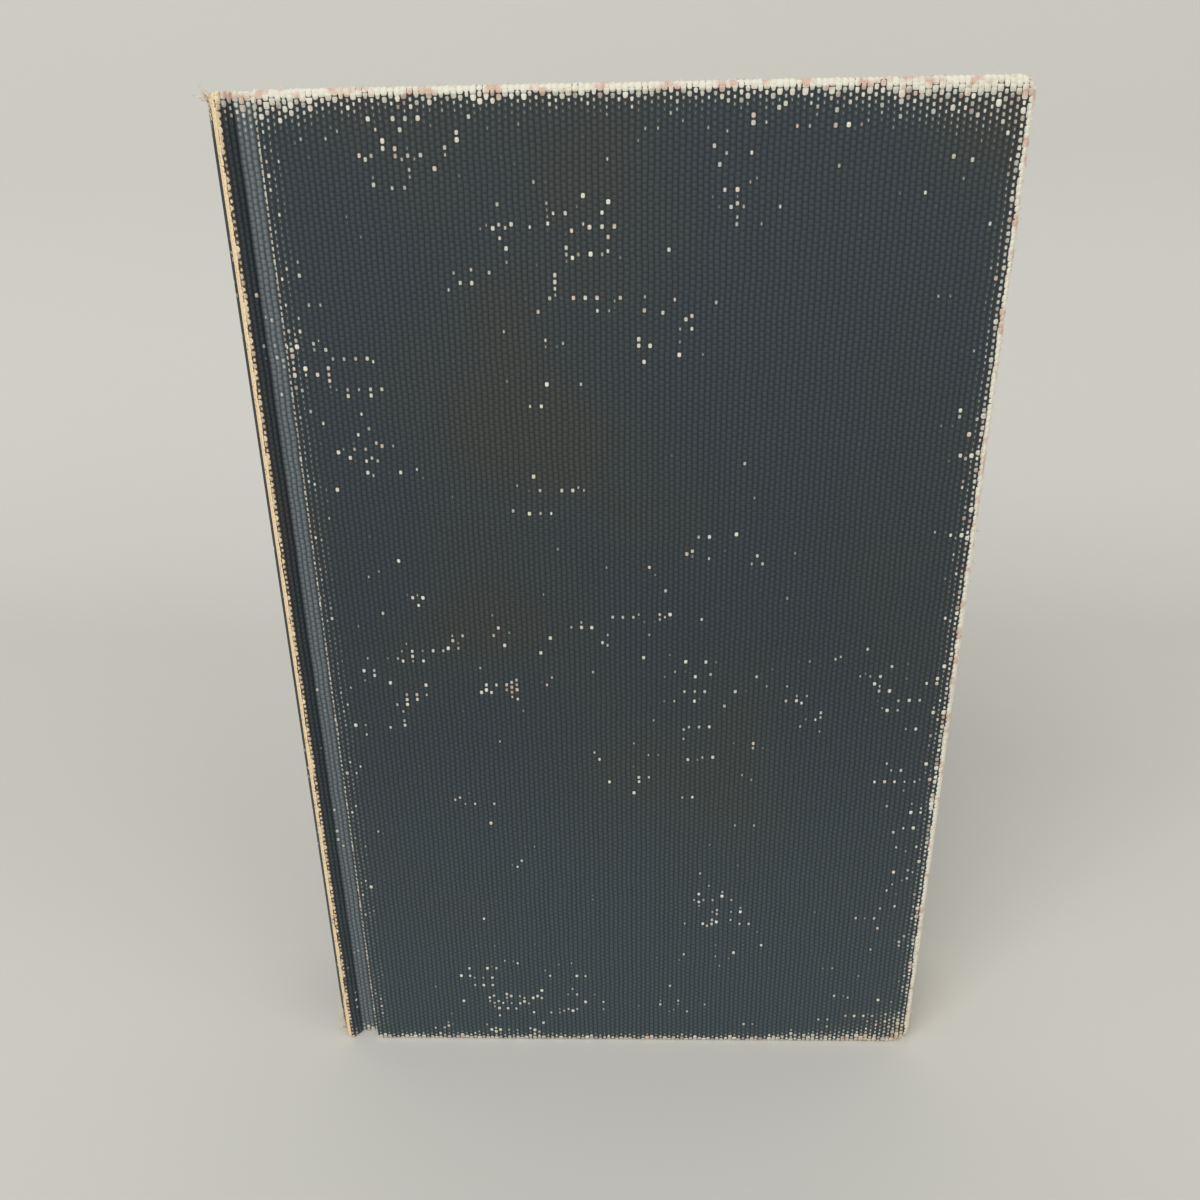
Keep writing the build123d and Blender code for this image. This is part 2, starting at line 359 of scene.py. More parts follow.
def new_material(name: str) -> tuple[bpy.types.Material, Wiring, bpy.types.Node]:
    """Starts a node material with one Principled shader.

    Args:
        name: The material's name.

    Returns:
        The material, its wiring and its shader node.
    """
    material = bpy.data.materials.new(name)
    material.use_nodes = True
    wiring = Wiring(material.node_tree)
    return material, wiring, material.node_tree.nodes["Principled BSDF"]


class SharedGroups:
    """The node groups that more than one material uses, each built once."""

    def __init__(self) -> None:
        """Builds the weave and the paper groups."""
        self.weave = self.build_weave()
        self.paper = self.build_paper()

    def build_weave(self) -> bpy.types.NodeTree:
        """Plain weave: thick ribs one way, fine picks the other, crowns staggered by rib.

        A rib's number is the whole part of across / rib pitch. Its height is a half sine
        over the rib, times a swell that peaks where the rib passes over a pick. That
        happens every second pick, one pick later on every other rib.

        Returns:
            The group. It puts out Height, Swell, Rib, Row and Chance for each crown.
        """
        inputs = {"Map": "Vector", "Rib Pitch": "Float", "Pick Pitch": "Float", "Wander": "Float"}
        outputs = {label: "Float" for label in ("Height", "Swell", "Rib", "Row", "Chance")}
        w, source, sink = new_group("Plain weave", inputs, outputs)
        across, along, _ = w.parts(source.outputs["Map"])
        stray = w.math("SUBTRACT", w.noise(source.outputs["Map"], 140.0, 1.0), 0.5)
        sway = w.math("MULTIPLY", stray, source.outputs["Wander"])
        rib_place = w.math("ADD", w.math("DIVIDE", across, source.outputs["Rib Pitch"]), sway)
        lift = w.math("MULTIPLY", sway, 1.6)
        pick_place = w.math("ADD", w.math("DIVIDE", along, source.outputs["Pick Pitch"]), lift)
        rib = w.math("FLOOR", rib_place)
        parity = w.math("FLOORED_MODULO", rib, 2.0)
        pair = w.math("MULTIPLY", w.math("ADD", pick_place, parity), 0.5)
        crown = w.math("FLOOR", pair)
        arch = w.math("SINE", w.math("MULTIPLY", w.math("FRACT", rib_place), math.pi))
        swell = w.math("SINE", w.math("MULTIPLY", w.math("FRACT", pair), math.pi))
        full = w.rise(swell, 0.05, 0.95)
        crest = w.math("MULTIPLY_ADD", full, 0.62, 0.38)
        row = w.math("SUBTRACT", w.math("MULTIPLY_ADD", crown, 2.0, 1.0), parity)
        w.feed(sink.inputs["Height"], w.math("MULTIPLY", w.math("POWER", arch, 0.8), crest))
        w.feed(sink.inputs["Swell"], full)
        w.feed(sink.inputs["Rib"], rib)
        w.feed(sink.inputs["Row"], row)
        w.feed(sink.inputs["Chance"], w.chance(w.vector(rib, row, 0.37)))
        return w.tree

    def build_paper(self) -> bpy.types.NodeTree:
        """Aged paper: fibre flecks, cloudy toning and sparse brown spots.

        Returns:
            The group. It puts out a Colour and a Height.
        """
        inputs = {"Place": "Vector", "Sheet": "Color", "Toned": "Color", "Toning": "Float", "Spots": "Float"}
        outputs = {"Colour": "Color", "Height": "Float"}
        w, source, sink = new_group("Aged paper", inputs, outputs)
        place = source.outputs["Place"]
        cloud = w.rise(w.noise(place, 28.0, 3.0), 0.35, 0.75)
        fibre = w.noise(place, 1900.0, 4.0)
        share = w.math("MULTIPLY_ADD", cloud, 0.35, source.outputs["Toning"], clamp=True)
        ground = w.mix(share, source.outputs["Sheet"], source.outputs["Toned"])
        fleck = w.math("MULTIPLY", w.rise(fibre, 0.5, 0.8), 0.22)
        flecked = w.mix(fleck, ground, linear(150, 122, 88))
        field = w.add("ShaderNodeTexVoronoi", place)
        field.inputs["Scale"].default_value = 95.0
        chosen = w.math("GREATER_THAN", w.parts(field.outputs["Color"])[0], 0.86)
        spot = w.math("SUBTRACT", 1.0, w.rise(field.outputs["Distance"], 0.02, 0.16))
        foxed = w.math("MULTIPLY", w.math("MULTIPLY", spot, chosen), source.outputs["Spots"])
        w.feed(sink.inputs["Colour"], w.mix(foxed, flecked, linear(156, 104, 58)))
        w.feed(sink.inputs["Height"], fibre)
        return w.tree


@dataclass(frozen=True)
class ClothFinish:
    """Ribbed book cloth, dyed blue-black, rubbed through to its pale thread.

    A crown shows pale where its height passes 1 less its wear. The wear is a sum of the
    piece's own wear values at edges, corners and ridges, and of runs, columns and patches
    of rubbed crowns scattered over the faces.
    """

    rib_pitch: float = 1.0 * MM
    pick_pitch: float = 0.53 * MM
    # Near-black painted shade in the gaps between ribs and picks.
    shaded_gap: Colour = linear(20, 25, 28)
    dye: Colour = linear(52, 62, 67)
    # Painted floor-bounce light: a lighter, bluer dye for the lowest part of the cloth.
    bounce_lit_dye: Colour = linear(66, 79, 83)
    dye_warm: Colour = linear(62, 62, 56)
    # A paler grey-blue for the band over the groove's floor.
    pale_band_dye: Colour = linear(120, 130, 134)
    thread: Colour = linear(222, 219, 203)
    thread_pink: Colour = linear(205, 178, 160)
    thread_tan: Colour = linear(232, 208, 168)
    bare_gap: Colour = linear(70, 52, 42)

    def crowns(self, w: Wiring, weave: bpy.types.Node, place: Value) -> tuple[Value, Value]:
        """How far each crown is rubbed, and how bright it comes up.

        Args:
            w: The material's wiring.
            weave: The weave group, placed.
            place: The weave map.

        Returns:
            The rubbed share of each spot, and a brightness for it.
        """
        rib = weave.outputs["Rib"]
        row = weave.outputs["Row"]
        luck = weave.outputs["Chance"]
        across = w.math("MULTIPLY", rib, self.rib_pitch)
        along = w.math("MULTIPLY", row, self.pick_pitch)
        row_seed = w.vector(across, w.math("MULTIPLY", row, 0.0731), 0.31)
        run = w.rise(w.noise(row_seed, 85.0, 1.0), 0.55, 0.72)
        column_seed = w.vector(w.math("MULTIPLY", rib, 0.0517), along, 0.77)
        column = w.rise(w.noise(column_seed, 150.0, 1.0), 0.60, 0.74)
        patch = w.rise(w.noise(w.vector(across, along, 0.19), 46.0, 2.0), 0.46, 0.66)
        run_part = w.math("MULTIPLY", run, w.math("MULTIPLY_ADD", patch, 0.62, 0.16))
        column_part = w.math("MULTIPLY", column, w.math("MULTIPLY_ADD", patch, 0.55, 0.04))
        likely = w.math("ADD", run_part, column_part)
        likely = w.math("MULTIPLY_ADD", w.attribute(WEAR), 0.9, likely)
        struck = w.rise(w.math("SUBTRACT", likely, luck), 0.0, 0.35)
        second_luck = w.chance(w.vector(row, rib, 0.83))
        size = w.math("MULTIPLY_ADD", second_luck, 0.24, 0.28)
        dot = w.math("MULTIPLY", struck, size)
        rib_swing = w.noise(w.vector(w.math("MULTIPLY", rib, 0.0333), place_along(w, place), 0.5), 210.0, 1.0)
        edge = w.math("MULTIPLY", w.attribute(WEAR), w.math("MULTIPLY_ADD", rib_swing, 0.9, 0.25))
        wear = w.math("ADD", dot, edge)
        start = w.math("SUBTRACT", 1.04, wear)
        stop = w.math("ADD", start, 0.2)
        rubbed = w.rise(weave.outputs["Height"], start, stop)
        bright = w.math("MULTIPLY_ADD", second_luck, 0.55, 0.45)
        return rubbed, w.math("MAXIMUM", bright, w.math("MINIMUM", w.attribute(WEAR), 1.0))

    def dyed(self, w: Wiring, weave: bpy.types.Node, place: Value) -> Value:
        """The unworn cloth: painted shade in the gaps, dyed crowns, a paler band in the groove, warmer
        patches, and painted floor-bounce light towards the foot.

        Args:
            w: The material's wiring.
            weave: The weave group, placed.
            place: The weave map.

        Returns:
            The colour socket.
        """
        along = place_along(w, place)
        # Painted floor-bounce light: the cloth turns towards the lighter, bluer dye at the foot, fading out
        # 110 mm up.
        low = w.math("SUBTRACT", 1.0, w.rise(along, 0.0, 0.11))
        warm = w.math("MULTIPLY", w.rise(w.noise(place, 22.0, 2.0), 0.42, 0.7), 0.75)
        body = w.mix(warm, self.dye, self.dye_warm)
        body = w.mix(low, body, self.bounce_lit_dye)
        # Paler grey-blue band along the groove's floor.
        body = w.mix(w.attribute(PALE_BAND), body, self.pale_band_dye)
        # Painted shade: the weave's low places are mixed towards the near-black gap colour, the shade between
        # threads.
        grain = w.noise(place, 2600.0, 2.0)
        lit = w.math("MULTIPLY_ADD", grain, 0.5, w.math("MULTIPLY", weave.outputs["Height"], 0.95))
        return w.mix(w.math("MINIMUM", lit, 1.0), self.shaded_gap, body)

    def material(self, groups: SharedGroups) -> bpy.types.Material:
        """Builds the cloth's material.

        Args:
            groups: The shared node groups.

        Returns:
            The material.
        """
        material, w, shader = new_material("Ribbed book cloth")
        place = w.map_place()
        pitches = {"Rib_Pitch": self.rib_pitch, "Pick_Pitch": self.pick_pitch}
        weave = w.group(groups.weave, Map=place, Wander=0.5, **pitches)
        rubbed, bright = self.crowns(w, weave, place)
        tan = w.attribute(TAN)
        pink = w.rise(w.noise(place, 420.0, 2.0), 0.48, 0.68)
        bare = w.mix(pink, self.thread, self.thread_pink)
        bare = w.mix(tan, bare, self.thread_tan)
        ground = w.mix(w.math("MULTIPLY", tan, 0.75), self.dyed(w, weave, place), self.bare_gap)
        share = w.math("MULTIPLY", rubbed, bright)
        w.feed(shader.inputs["Base Color"], w.mix(share, ground, bare))
        shader.inputs["Specular IOR Level"].default_value = 0.35
        w.feed(shader.inputs["Roughness"], w.math("MULTIPLY_ADD", rubbed, 0.2, 0.68))
        fuzz = w.math("MULTIPLY", w.noise(place, 5200.0, 2.0), 0.25)
        height = w.math("ADD", weave.outputs["Height"], fuzz)
        bump = w.add("ShaderNodeBump")
        bump.inputs["Strength"].default_value = 0.9
        bump.inputs["Distance"].default_value = 0.16 * MM
        w.feed(bump.inputs["Height"], height)
        w.feed(shader.inputs["Normal"], bump.outputs[0])
        return material


def place_along(w: Wiring, place: Value) -> bpy.types.NodeSocket:
    """The second number of a map place, the one along the ribs."""
    return w.parts(place)[1]


@dataclass(frozen=True)
class GauzeFinish:
    """Open, starched bookbinder's gauze."""

    name: str
    thread: Colour
    hole: Colour
    pitch: float = 1.1 * MM

    def material(self, groups: SharedGroups) -> bpy.types.Material:
        """Builds the gauze's material from the shared weave.

        Args:
            groups: The shared node groups.

        Returns:
            The material.
        """
        material, w, shader = new_material(self.name)
        across, _, up = w.parts(w.body_place())
        flat = w.vector(across, up)
        weave = w.group(groups.weave, Map=flat, Rib_Pitch=self.pitch, Pick_Pitch=self.pitch * 0.5, Wander=0.2)
        share = w.rise(weave.outputs["Height"], 0.25, 0.6)
        w.feed(shader.inputs["Base Color"], w.mix(share, self.hole, self.thread))
        shader.inputs["Roughness"].default_value = 0.9
        bump = w.add("ShaderNodeBump")
        bump.inputs["Distance"].default_value = 0.1 * MM
        w.feed(bump.inputs["Height"], weave.outputs["Height"])
        w.feed(shader.inputs["Normal"], bump.outputs[0])
        return material


@dataclass(frozen=True)
class PaperFinish:
    """Paper, board or lining of one colour and age."""

    name: str
    sheet: Colour
    toned: Colour
    toning: float
    spots: float
    ground: Ground = Ground.PLACE
    relief: float = 0.05 * MM

    def material(self, groups: SharedGroups) -> bpy.types.Material:
        """Builds the paper's material from the shared group.

        Args:
            groups: The shared node groups.

        Returns:
            The material.
        """
        material, w, shader = new_material(self.name)
        place = w.map_place() if self.ground is Ground.MAP else w.body_place()
        paper = w.group(
            groups.paper,
            Place=place,
            Sheet=self.sheet,
            Toned=self.toned,
            Toning=self.toning,
            Spots=self.spots,
        )
        w.feed(shader.inputs["Base Color"], paper.outputs["Colour"])
        shader.inputs["Roughness"].default_value = 0.85
        shader.inputs["Specular IOR Level"].default_value = 0.3
        bump = w.add("ShaderNodeBump")
        bump.inputs["Strength"].default_value = 0.5
        bump.inputs["Distance"].default_value = self.relief
        w.feed(bump.inputs["Height"], paper.outputs["Height"])
        w.feed(shader.inputs["Normal"], bump.outputs[0])
        return material


@dataclass(frozen=True)
class LeafEdgeFinish:
    """The cut edges of the leaves: fine lines of painted shade between the leaves, browned and a little
    dusty.
    """

    name: str = "Leaf edges"
    leaf: Colour = linear(226, 212, 180)
    browned: Colour = linear(186, 160, 118)
    # Painted shade in the gaps between the leaves.
    shaded_gap: Colour = linear(112, 90, 62)
    leaf_pitch: float = 0.16 * MM

    def material(self, groups: SharedGroups) -> bpy.types.Material:
        """Builds the material from lines stretched along the leaves.

        Args:
            groups: The shared node groups.

        Returns:
            The material.
        """
        material, w, shader = new_material(self.name)
        place = w.body_place()
        across, through, up = w.parts(place)
        run = w.vector(w.math("MULTIPLY", across, 26.0), w.math("DIVIDE", through, self.leaf_pitch))
        stretched = w.vector(*w.parts(run)[:2], w.math("MULTIPLY", up, 26.0))
        line = w.noise(stretched, 1.0, 2.0)
        group_line = w.noise(w.vector(0.0, w.math("DIVIDE", through, self.leaf_pitch * 9.0)), 1.0, 2.0)
        age = {"Toning": 0.35, "Spots": 0.4}
        paper = w.group(groups.paper, Place=place, Sheet=self.leaf, Toned=self.browned, **age)
        # Painted shade: the fine lines between the leaves are mixed towards a dark brown.
        dark = w.math("MULTIPLY", w.rise(line, 0.52, 0.72), 0.6)
        lined = w.mix(dark, paper.outputs["Colour"], self.shaded_gap)
        banded = w.mix(w.math("MULTIPLY", w.rise(group_line, 0.4, 0.75), 0.35), lined, self.browned)
        w.feed(shader.inputs["Base Color"], banded)
        shader.inputs["Roughness"].default_value = 0.88
        shader.inputs["Specular IOR Level"].default_value = 0.25
        bump = w.add("ShaderNodeBump")
        bump.inputs["Strength"].default_value = 0.8
        bump.inputs["Distance"].default_value = 0.12 * MM
        w.feed(bump.inputs["Height"], line)
        w.feed(shader.inputs["Normal"], bump.outputs[0])
        return material


@dataclass(frozen=True)
class ThreadFinish:
    """Loose cotton or linen thread, lighter and darker along its length."""

    name: str
    pale: Colour
    dark: Colour

    def material(self) -> bpy.types.Material:
        """Builds the thread's material.

        Returns:
            The material.
        """
        material, w, shader = new_material(self.name)
        place = w.body_place()
        share = w.rise(w.noise(place, 700.0, 3.0), 0.4, 0.7)
        w.feed(shader.inputs["Base Color"], w.mix(share, self.pale, self.dark))
        shader.inputs["Roughness"].default_value = 0.9
        shader.inputs["Specular IOR Level"].default_value = 0.2
        bump = w.add("ShaderNodeBump")
        bump.inputs["Distance"].default_value = 0.05 * MM
        w.feed(bump.inputs["Height"], w.noise(place, 6000.0, 1.0))
        w.feed(shader.inputs["Normal"], bump.outputs[0])
        return material


@dataclass
class CoverPath:
    """The cloth's outer line in plan, from the spine's middle to the fore-edge.

    It is the spine's arc, the rounded shoulder ridge, the wall down into the groove, the
    groove's floor, the wall up over the board's edge, and the board's face. The inner
    line, where the turned-in cloth lies, pairs one point with each outer point.
    """

    spine_centre: float = -41.21 * MM
    spine_radius: float = 25.79 * MM
    inner_radius: float = 24.29 * MM
    spine_half_angle: float = math.radians(32.88)
    ridge: tuple[float, float] = (-61.92 * MM, 15.40 * MM)
    foot: tuple[float, float] = (-59.75 * MM, 12.6 * MM)
    board_foot: tuple[float, float] = (-56.15 * MM, 12.6 * MM)
    board_top: tuple[float, float] = (-55.6 * MM, 15.0 * MM)
    fore_edge: float = 67.0 * MM
    board_out: float = 15.0 * MM
    inner_out: float = 11.6 * MM
    hinge_zone: tuple[float, float] = (-60.2 * MM, -57.6 * MM)
    roll: float = 0.9 * MM
    thin_roll: float = 0.5 * MM
    step: float = 0.25 * MM
    fine_step: float = 0.1 * MM

    def outline(self) -> Array:
        """The path's points, dense enough to read distances from."""
        angle = np.linspace(0.0, self.spine_half_angle, 200)
        arc = np.stack(
            [
                self.spine_centre - self.spine_radius * np.cos(angle),
                self.spine_radius * np.sin(angle),
            ],
            axis=1,
        )
        end = np.array([self.fore_edge - self.roll, self.board_out])
        stops = np.array([arc[-1], self.ridge, self.foot, self.board_foot, self.board_top, end])
        radii = (0.9 * MM, 0.9 * MM, 1.3 * MM, 0.8 * MM)
        bends = [rounded_corner(*stops[k : k + 3], radius) for k, radius in enumerate(radii)]
        return np.concatenate([arc[:-1], *bends, stops[-1:]])

    def sample(self) -> tuple[Array, Array, Array]:
        """Reads the path at even steps, finer where the cover bends.

        Returns:
            Distance along the path, the outer points and the paired inner points.
        """
        line = self.outline()
        run = np.concatenate([[0.0], np.cumsum(np.linalg.norm(np.diff(line, axis=0), axis=1))])
        coarse = np.arange(0.0, run[-1], self.step)
        x_coarse = np.interp(coarse, run, line[:, 0])
        low, high = self.hinge_zone
        past_ridge = coarse > np.interp(self.ridge[0], line[200:, 0], run[200:])
        bending = past_ridge & (x_coarse > low) & (x_coarse < high)
        extra = np.arange(coarse[bending].min(), coarse[bending].max(), self.fine_step)
        where = np.concatenate([coarse[~bending], extra, run[-1:]])
        where = np.sort(where)
        keep = np.concatenate([[True], np.diff(where) > 0.4 * self.fine_step])
        where = where[keep]
        where[-1] = run[-1]
        outer = np.stack([np.interp(where, run, line[:, k]) for k in range(2)], axis=1)
        return where, outer, self.inner_points(where, outer, run, line)

    def inner_points(self, where: Array, outer: Array, run: Array, line: Array) -> Array:
        """The inner point paired with each outer one.

        On the spine it lies on the inner arc at the same angle. From the groove's foot on
        it lies straight inwards on the inner plane. Between the two it moves evenly.

        Args:
            where: Distances along the path.
            outer: The outer points.
            run: Distances of the outline's points.
            line: The outline's points.

        Returns:
            The inner points, shape (n, 2).
        """
        arc_length = self.spine_radius * self.spine_half_angle
        angle = np.minimum(where, arc_length) / self.spine_radius
        on_spine = np.stack(
            [
                self.spine_centre - self.inner_radius * np.cos(angle),
                self.inner_radius * np.sin(angle),
            ],
            axis=1,
        )
        on_cover = np.stack([outer[:, 0], np.full(len(where), self.inner_out)], axis=1)
        foot_run = np.interp(self.foot[0] + 0.3 * MM, line[200:, 0], run[200:])
        share = np.clip((where - arc_length) / (foot_run - arc_length), 0.0, 1.0)[:, None]
        foot_point = np.array([self.foot[0] + 0.3 * MM, self.inner_out])
        between = on_spine * (1.0 - share) + foot_point * share
        return np.where(share < 1.0, between, on_cover)


@dataclass
class CoverCloth:
    """Half of the covering cloth: from the spine's middle over one board, turned in.

    The face is a grid along the cover path and up the book. Around its open edge runs a
    ring of levels that rolls over the edge, down the edge's wall and in under the board.
    """

    side: Side
    path: CoverPath
    height: float = 197.0 * MM
    head_corner: float = 2.7 * MM
    tail_corner: float = 4.5 * MM
    inner_roll: float = 0.5 * MM
    board_turn_in: float = 6.0 * MM
    spine_turn_in: float = 12.0 * MM
    rib_pitch: float = 1.0 * MM
    rib_relief: float = 0.06 * MM
    edge_roughness: float = 0.10 * MM
    seed: int = 11
    thickness: float = 0.35 * MM
    flat_size: tuple[float, float] = (0.167, 0.234)

    def rows(self) -> Array:
        """Heights of the face's rows as shares of the face, close together at both ends."""
        near = np.array([0.0, 0.35, 0.7, 1.1, 1.5, 1.9, 2.4, 2.9, 3.6, 4.6, 6.0, 8.0, 11.0, 15.0, 21.0, 28.0])
        near = near * MM / self.height
        middle = np.linspace(near[-1], 1.0 - near[-1], 18)[1:-1]
        return np.concatenate([near, middle, 1.0 - near[::-1]])

    def roll_at(self, outer: Array) -> Array:
        """The edge roll's radius: wide over the board, tight over the groove and spine."""
        share = smoothstep(outer[:, 0], -55.6 * MM, -54.0 * MM)
        return self.path.thin_roll + share * (self.path.roll - self.path.thin_roll)

    def crush(self, where: Array) -> Array:
        """How far the worn shoulder is rubbed down at head and tail, along the path."""
        centre = 13.6 * MM
        return 0.9 * MM * np.exp(-(((where - centre) / (2.2 * MM)) ** 2))

    def face(self) -> dict[str, Array]:
        """Works out the face grid before its ribs are raised.

        Each point is the path's point at its column, at its row's share of the height
        between the two edge rolls. The two fore-edge corners are squares of the grid
        pushed onto quarter discs: a point's offset from the corner's centre is scaled by
        its larger part over its length.

        Returns:
            Arrays shaped (rows, columns): x, out, z, run and normal parts.
        """
        where, outer, inner = self.path.sample()
        rows = self.rows()
        roll = self.roll_at(outer)
        dip = self.crush(where)
        low = roll + dip * 0.6
        high = self.height - roll - dip
        x = np.repeat(outer[None, :, 0], len(rows), axis=0)
        out = np.repeat(outer[None, :, 1], len(rows), axis=0)
        run = np.repeat(where[None, :], len(rows), axis=0)
        z = low[None, :] + rows[:, None] * (high - low)[None, :]
        start = x.copy()
        for is_head, radius in ((True, self.head_corner), (False, self.tail_corner)):
            small = radius - self.path.roll
            centre_x = self.path.fore_edge - self.path.roll - small
            centre_z = self.height - self.path.roll - small if is_head else self.path.roll + small
            dx = x - centre_x
            dz = (z - centre_z) * (1.0 if is_head else -1.0)
            inside = (dx > 0) & (dz > 0)
            reach = np.maximum(dx, dz) / np.maximum(np.hypot(dx, dz), 1e-9)
            x = np.where(inside, centre_x + dx * reach, x)
            z = np.where(inside, centre_z + (z - centre_z) * reach, z)
        along = np.gradient(outer, axis=0)
        along = along / np.linalg.norm(along, axis=1)[:, None]
        normal = np.stack([-along[:, 1], along[:, 0]], axis=1)
        depth = np.linalg.norm(outer - inner, axis=1)
        inward = (inner - outer) / depth[:, None]
        return {
            "x": x,
            "out": out,
            "z": z,
            "run": run + (x - start),
            "normal": np.repeat(normal[None], len(rows), axis=0),
            "depth": depth,
            "inward": inward,
            "roll": roll,
        }

    def border(self, face: dict[str, Array]) -> dict[str, Array]:
        """Collects the face's open edge in order: head, fore-edge, then tail.

        For each point it finds the way outwards in the cover's plane, the way that a
        deep turn-in is drawn along the edge near a corner, and how strongly.

        Args:
            face: What face() returned.

        Returns:
            Arrays along the edge, with the point numbers as index.
        """
        rows, columns = face["x"].shape
        number = np.arange(rows * columns).reshape(rows, columns)
        index = np.concatenate([number[-1, :], number[-2:0:-1, -1], number[0, ::-1]])
        column = index % columns
        x = face["x"].ravel()[index]
        z = face["z"].ravel()[index]
        small = {True: self.head_corner - self.path.roll, False: self.tail_corner - self.path.roll}
        is_head = z > 0.5 * self.height
        corner = np.where(is_head, small[True], small[False])
        sign = np.where(is_head, 1.0, -1.0)
        centre_x = self.path.fore_edge - self.path.roll - corner
        centre_z = np.where(is_head, self.height - self.path.roll - corner, self.path.roll + corner)
        dx = x - centre_x
        dz = (z - centre_z) * sign
        in_arc = (dx >= -1e-9) & (dz >= -1e-9)
        length = np.maximum(np.hypot(dx, dz), 1e-9)
        on_fore = (dz < -1e-9) & (column == columns - 1)
        nx = np.where(in_arc, dx / length, np.where(on_fore, 1.0, 0.0))
        nz = np.where(in_arc, dz / length * sign, np.where(on_fore, 0.0, sign))
        fade = 8.0 * MM
        pull_x = np.where(on_fore, 0.0, np.exp(-np.maximum(-dx, 0.0) / fade))
        pull_z = np.where(on_fore, np.exp(-np.maximum(-dz, 0.0) / fade), 0.0)
        pull_x = np.where(in_arc, 1.0, pull_x)
        pull_z = np.where(in_arc, 1.0, pull_z)
        return {
            "index": index,
            "column": column,
            "x": x,
            "out": face["out"].ravel()[index],
            "z": z,
            "run": face["run"].ravel()[index],
            "nx": nx,
            "nz": nz,
            "pull_x": -pull_x,
            "pull_z": -pull_z * sign,
            "in_arc": np.where(in_arc, 1.0, 0.0),
            "corner": corner + self.path.roll,
            "roll": face["roll"][column],
            "depth": face["depth"][column],
            "inward": face["inward"][column],
            "normal": face["normal"].reshape(-1, 2)[index],
        }

    def levels(self, edge: dict[str, Array]) -> list[dict[str, Array]]:
        """The ring's levels, each with its inset, depth, unrolled distance and lean.

        The roll is a quarter arc from the face to the wall, the wall runs straight in,
        a second quarter arc turns under, and the turn-in lies along the inner plane.

        Args:
            edge: What border() returned.

        Returns:
            One dictionary of arrays for each level, from the face inwards.
        """
        roll = edge["roll"]
        depth = edge["depth"]
        under = np.minimum(self.inner_roll, 0.45 * (depth - roll))
        reach = self.spine_turn_in + smoothstep(edge["x"], -59.0 * MM, -54.0 * MM) * (
            self.board_turn_in - self.spine_turn_in
        )
        quarter = 0.5 * math.pi
        made = []
        for share in (0.34, 0.67, 1.0):
            turn = share * quarter
            made.append(
                {
                    "inset": roll * (1.0 - math.sin(turn)),
                    "depth": roll * (1.0 - math.cos(turn)),
                    "far": roll * turn,
                    "lean": turn,
                }
            )
        wall = depth - roll - under
        for share in (0.5, 1.0):
            made.append(
                {
                    "inset": 0.0 * roll,
                    "depth": roll + wall * share,
                    "far": roll * quarter + wall * share,
                    "lean": quarter,
                }
            )
        before = roll * quarter + wall
        for share in (0.5, 1.0):
            turn = share * quarter
            made.append(
                {
                    "inset": under * (1.0 - math.cos(turn)),
                    "depth": depth - under + under * math.sin(turn),
                    "far": before + under * turn,
                    "lean": quarter + turn,
                }
            )
        before = before + under * quarter
        for share in (0.2, 0.55, 1.0):
            made.append(
                {
                    "inset": under + (reach - under) * share,
                    "depth": depth,
                    "far": before + (reach - under) * share,
                    "lean": 2.0 * quarter,
                }
            )
        return made

    def ring(self, edge: dict[str, Array]) -> dict[str, Array]:
        """Places every level of the ring.

        A point starts at the face's edge, moves along the outward way by roll - inset and
        along the inward way by depth. Where the inset passes the corner's radius, the
        rest of it is drawn towards the cover's middle on both directions.

        Args:
            edge: What border() returned.

        Returns:
            Arrays shaped (levels, points) of the ring's places and unrolled map.
        """
        parts = {name: [] for name in ("x", "out", "z", "run", "along", "ox", "oo", "oz")}
        limit = edge["corner"] - 0.3 * MM
        for level in self.levels(edge):
            inset = level["inset"] + 0.0 * edge["x"]
            held = np.where(edge["in_arc"] > 0, np.minimum(inset, limit), inset)
            over = np.maximum(inset - limit, 0.0)
            outward = edge["roll"] - held
            sunk_x = level["depth"] * edge["inward"][:, 0]
            parts["x"].append(edge["x"] + outward * edge["nx"] + over * edge["pull_x"] + sunk_x)
            parts["out"].append(edge["out"] + level["depth"] * edge["inward"][:, 1])
            parts["z"].append(edge["z"] + outward * edge["nz"] + over * edge["pull_z"])
            parts["run"].append(edge["run"] + level["far"] * edge["nx"])
            parts["along"].append(edge["z"] + level["far"] * edge["nz"])
            lean_face = math.cos(level["lean"])
            lean_edge = math.sin(level["lean"])
            parts["ox"].append(edge["normal"][:, 0] * lean_face + edge["nx"] * lean_edge)
            parts["oo"].append(edge["normal"][:, 1] * lean_face)
            parts["oz"].append(edge["nz"] * lean_edge)
        return {name: np.array(rows) for name, rows in parts.items()}

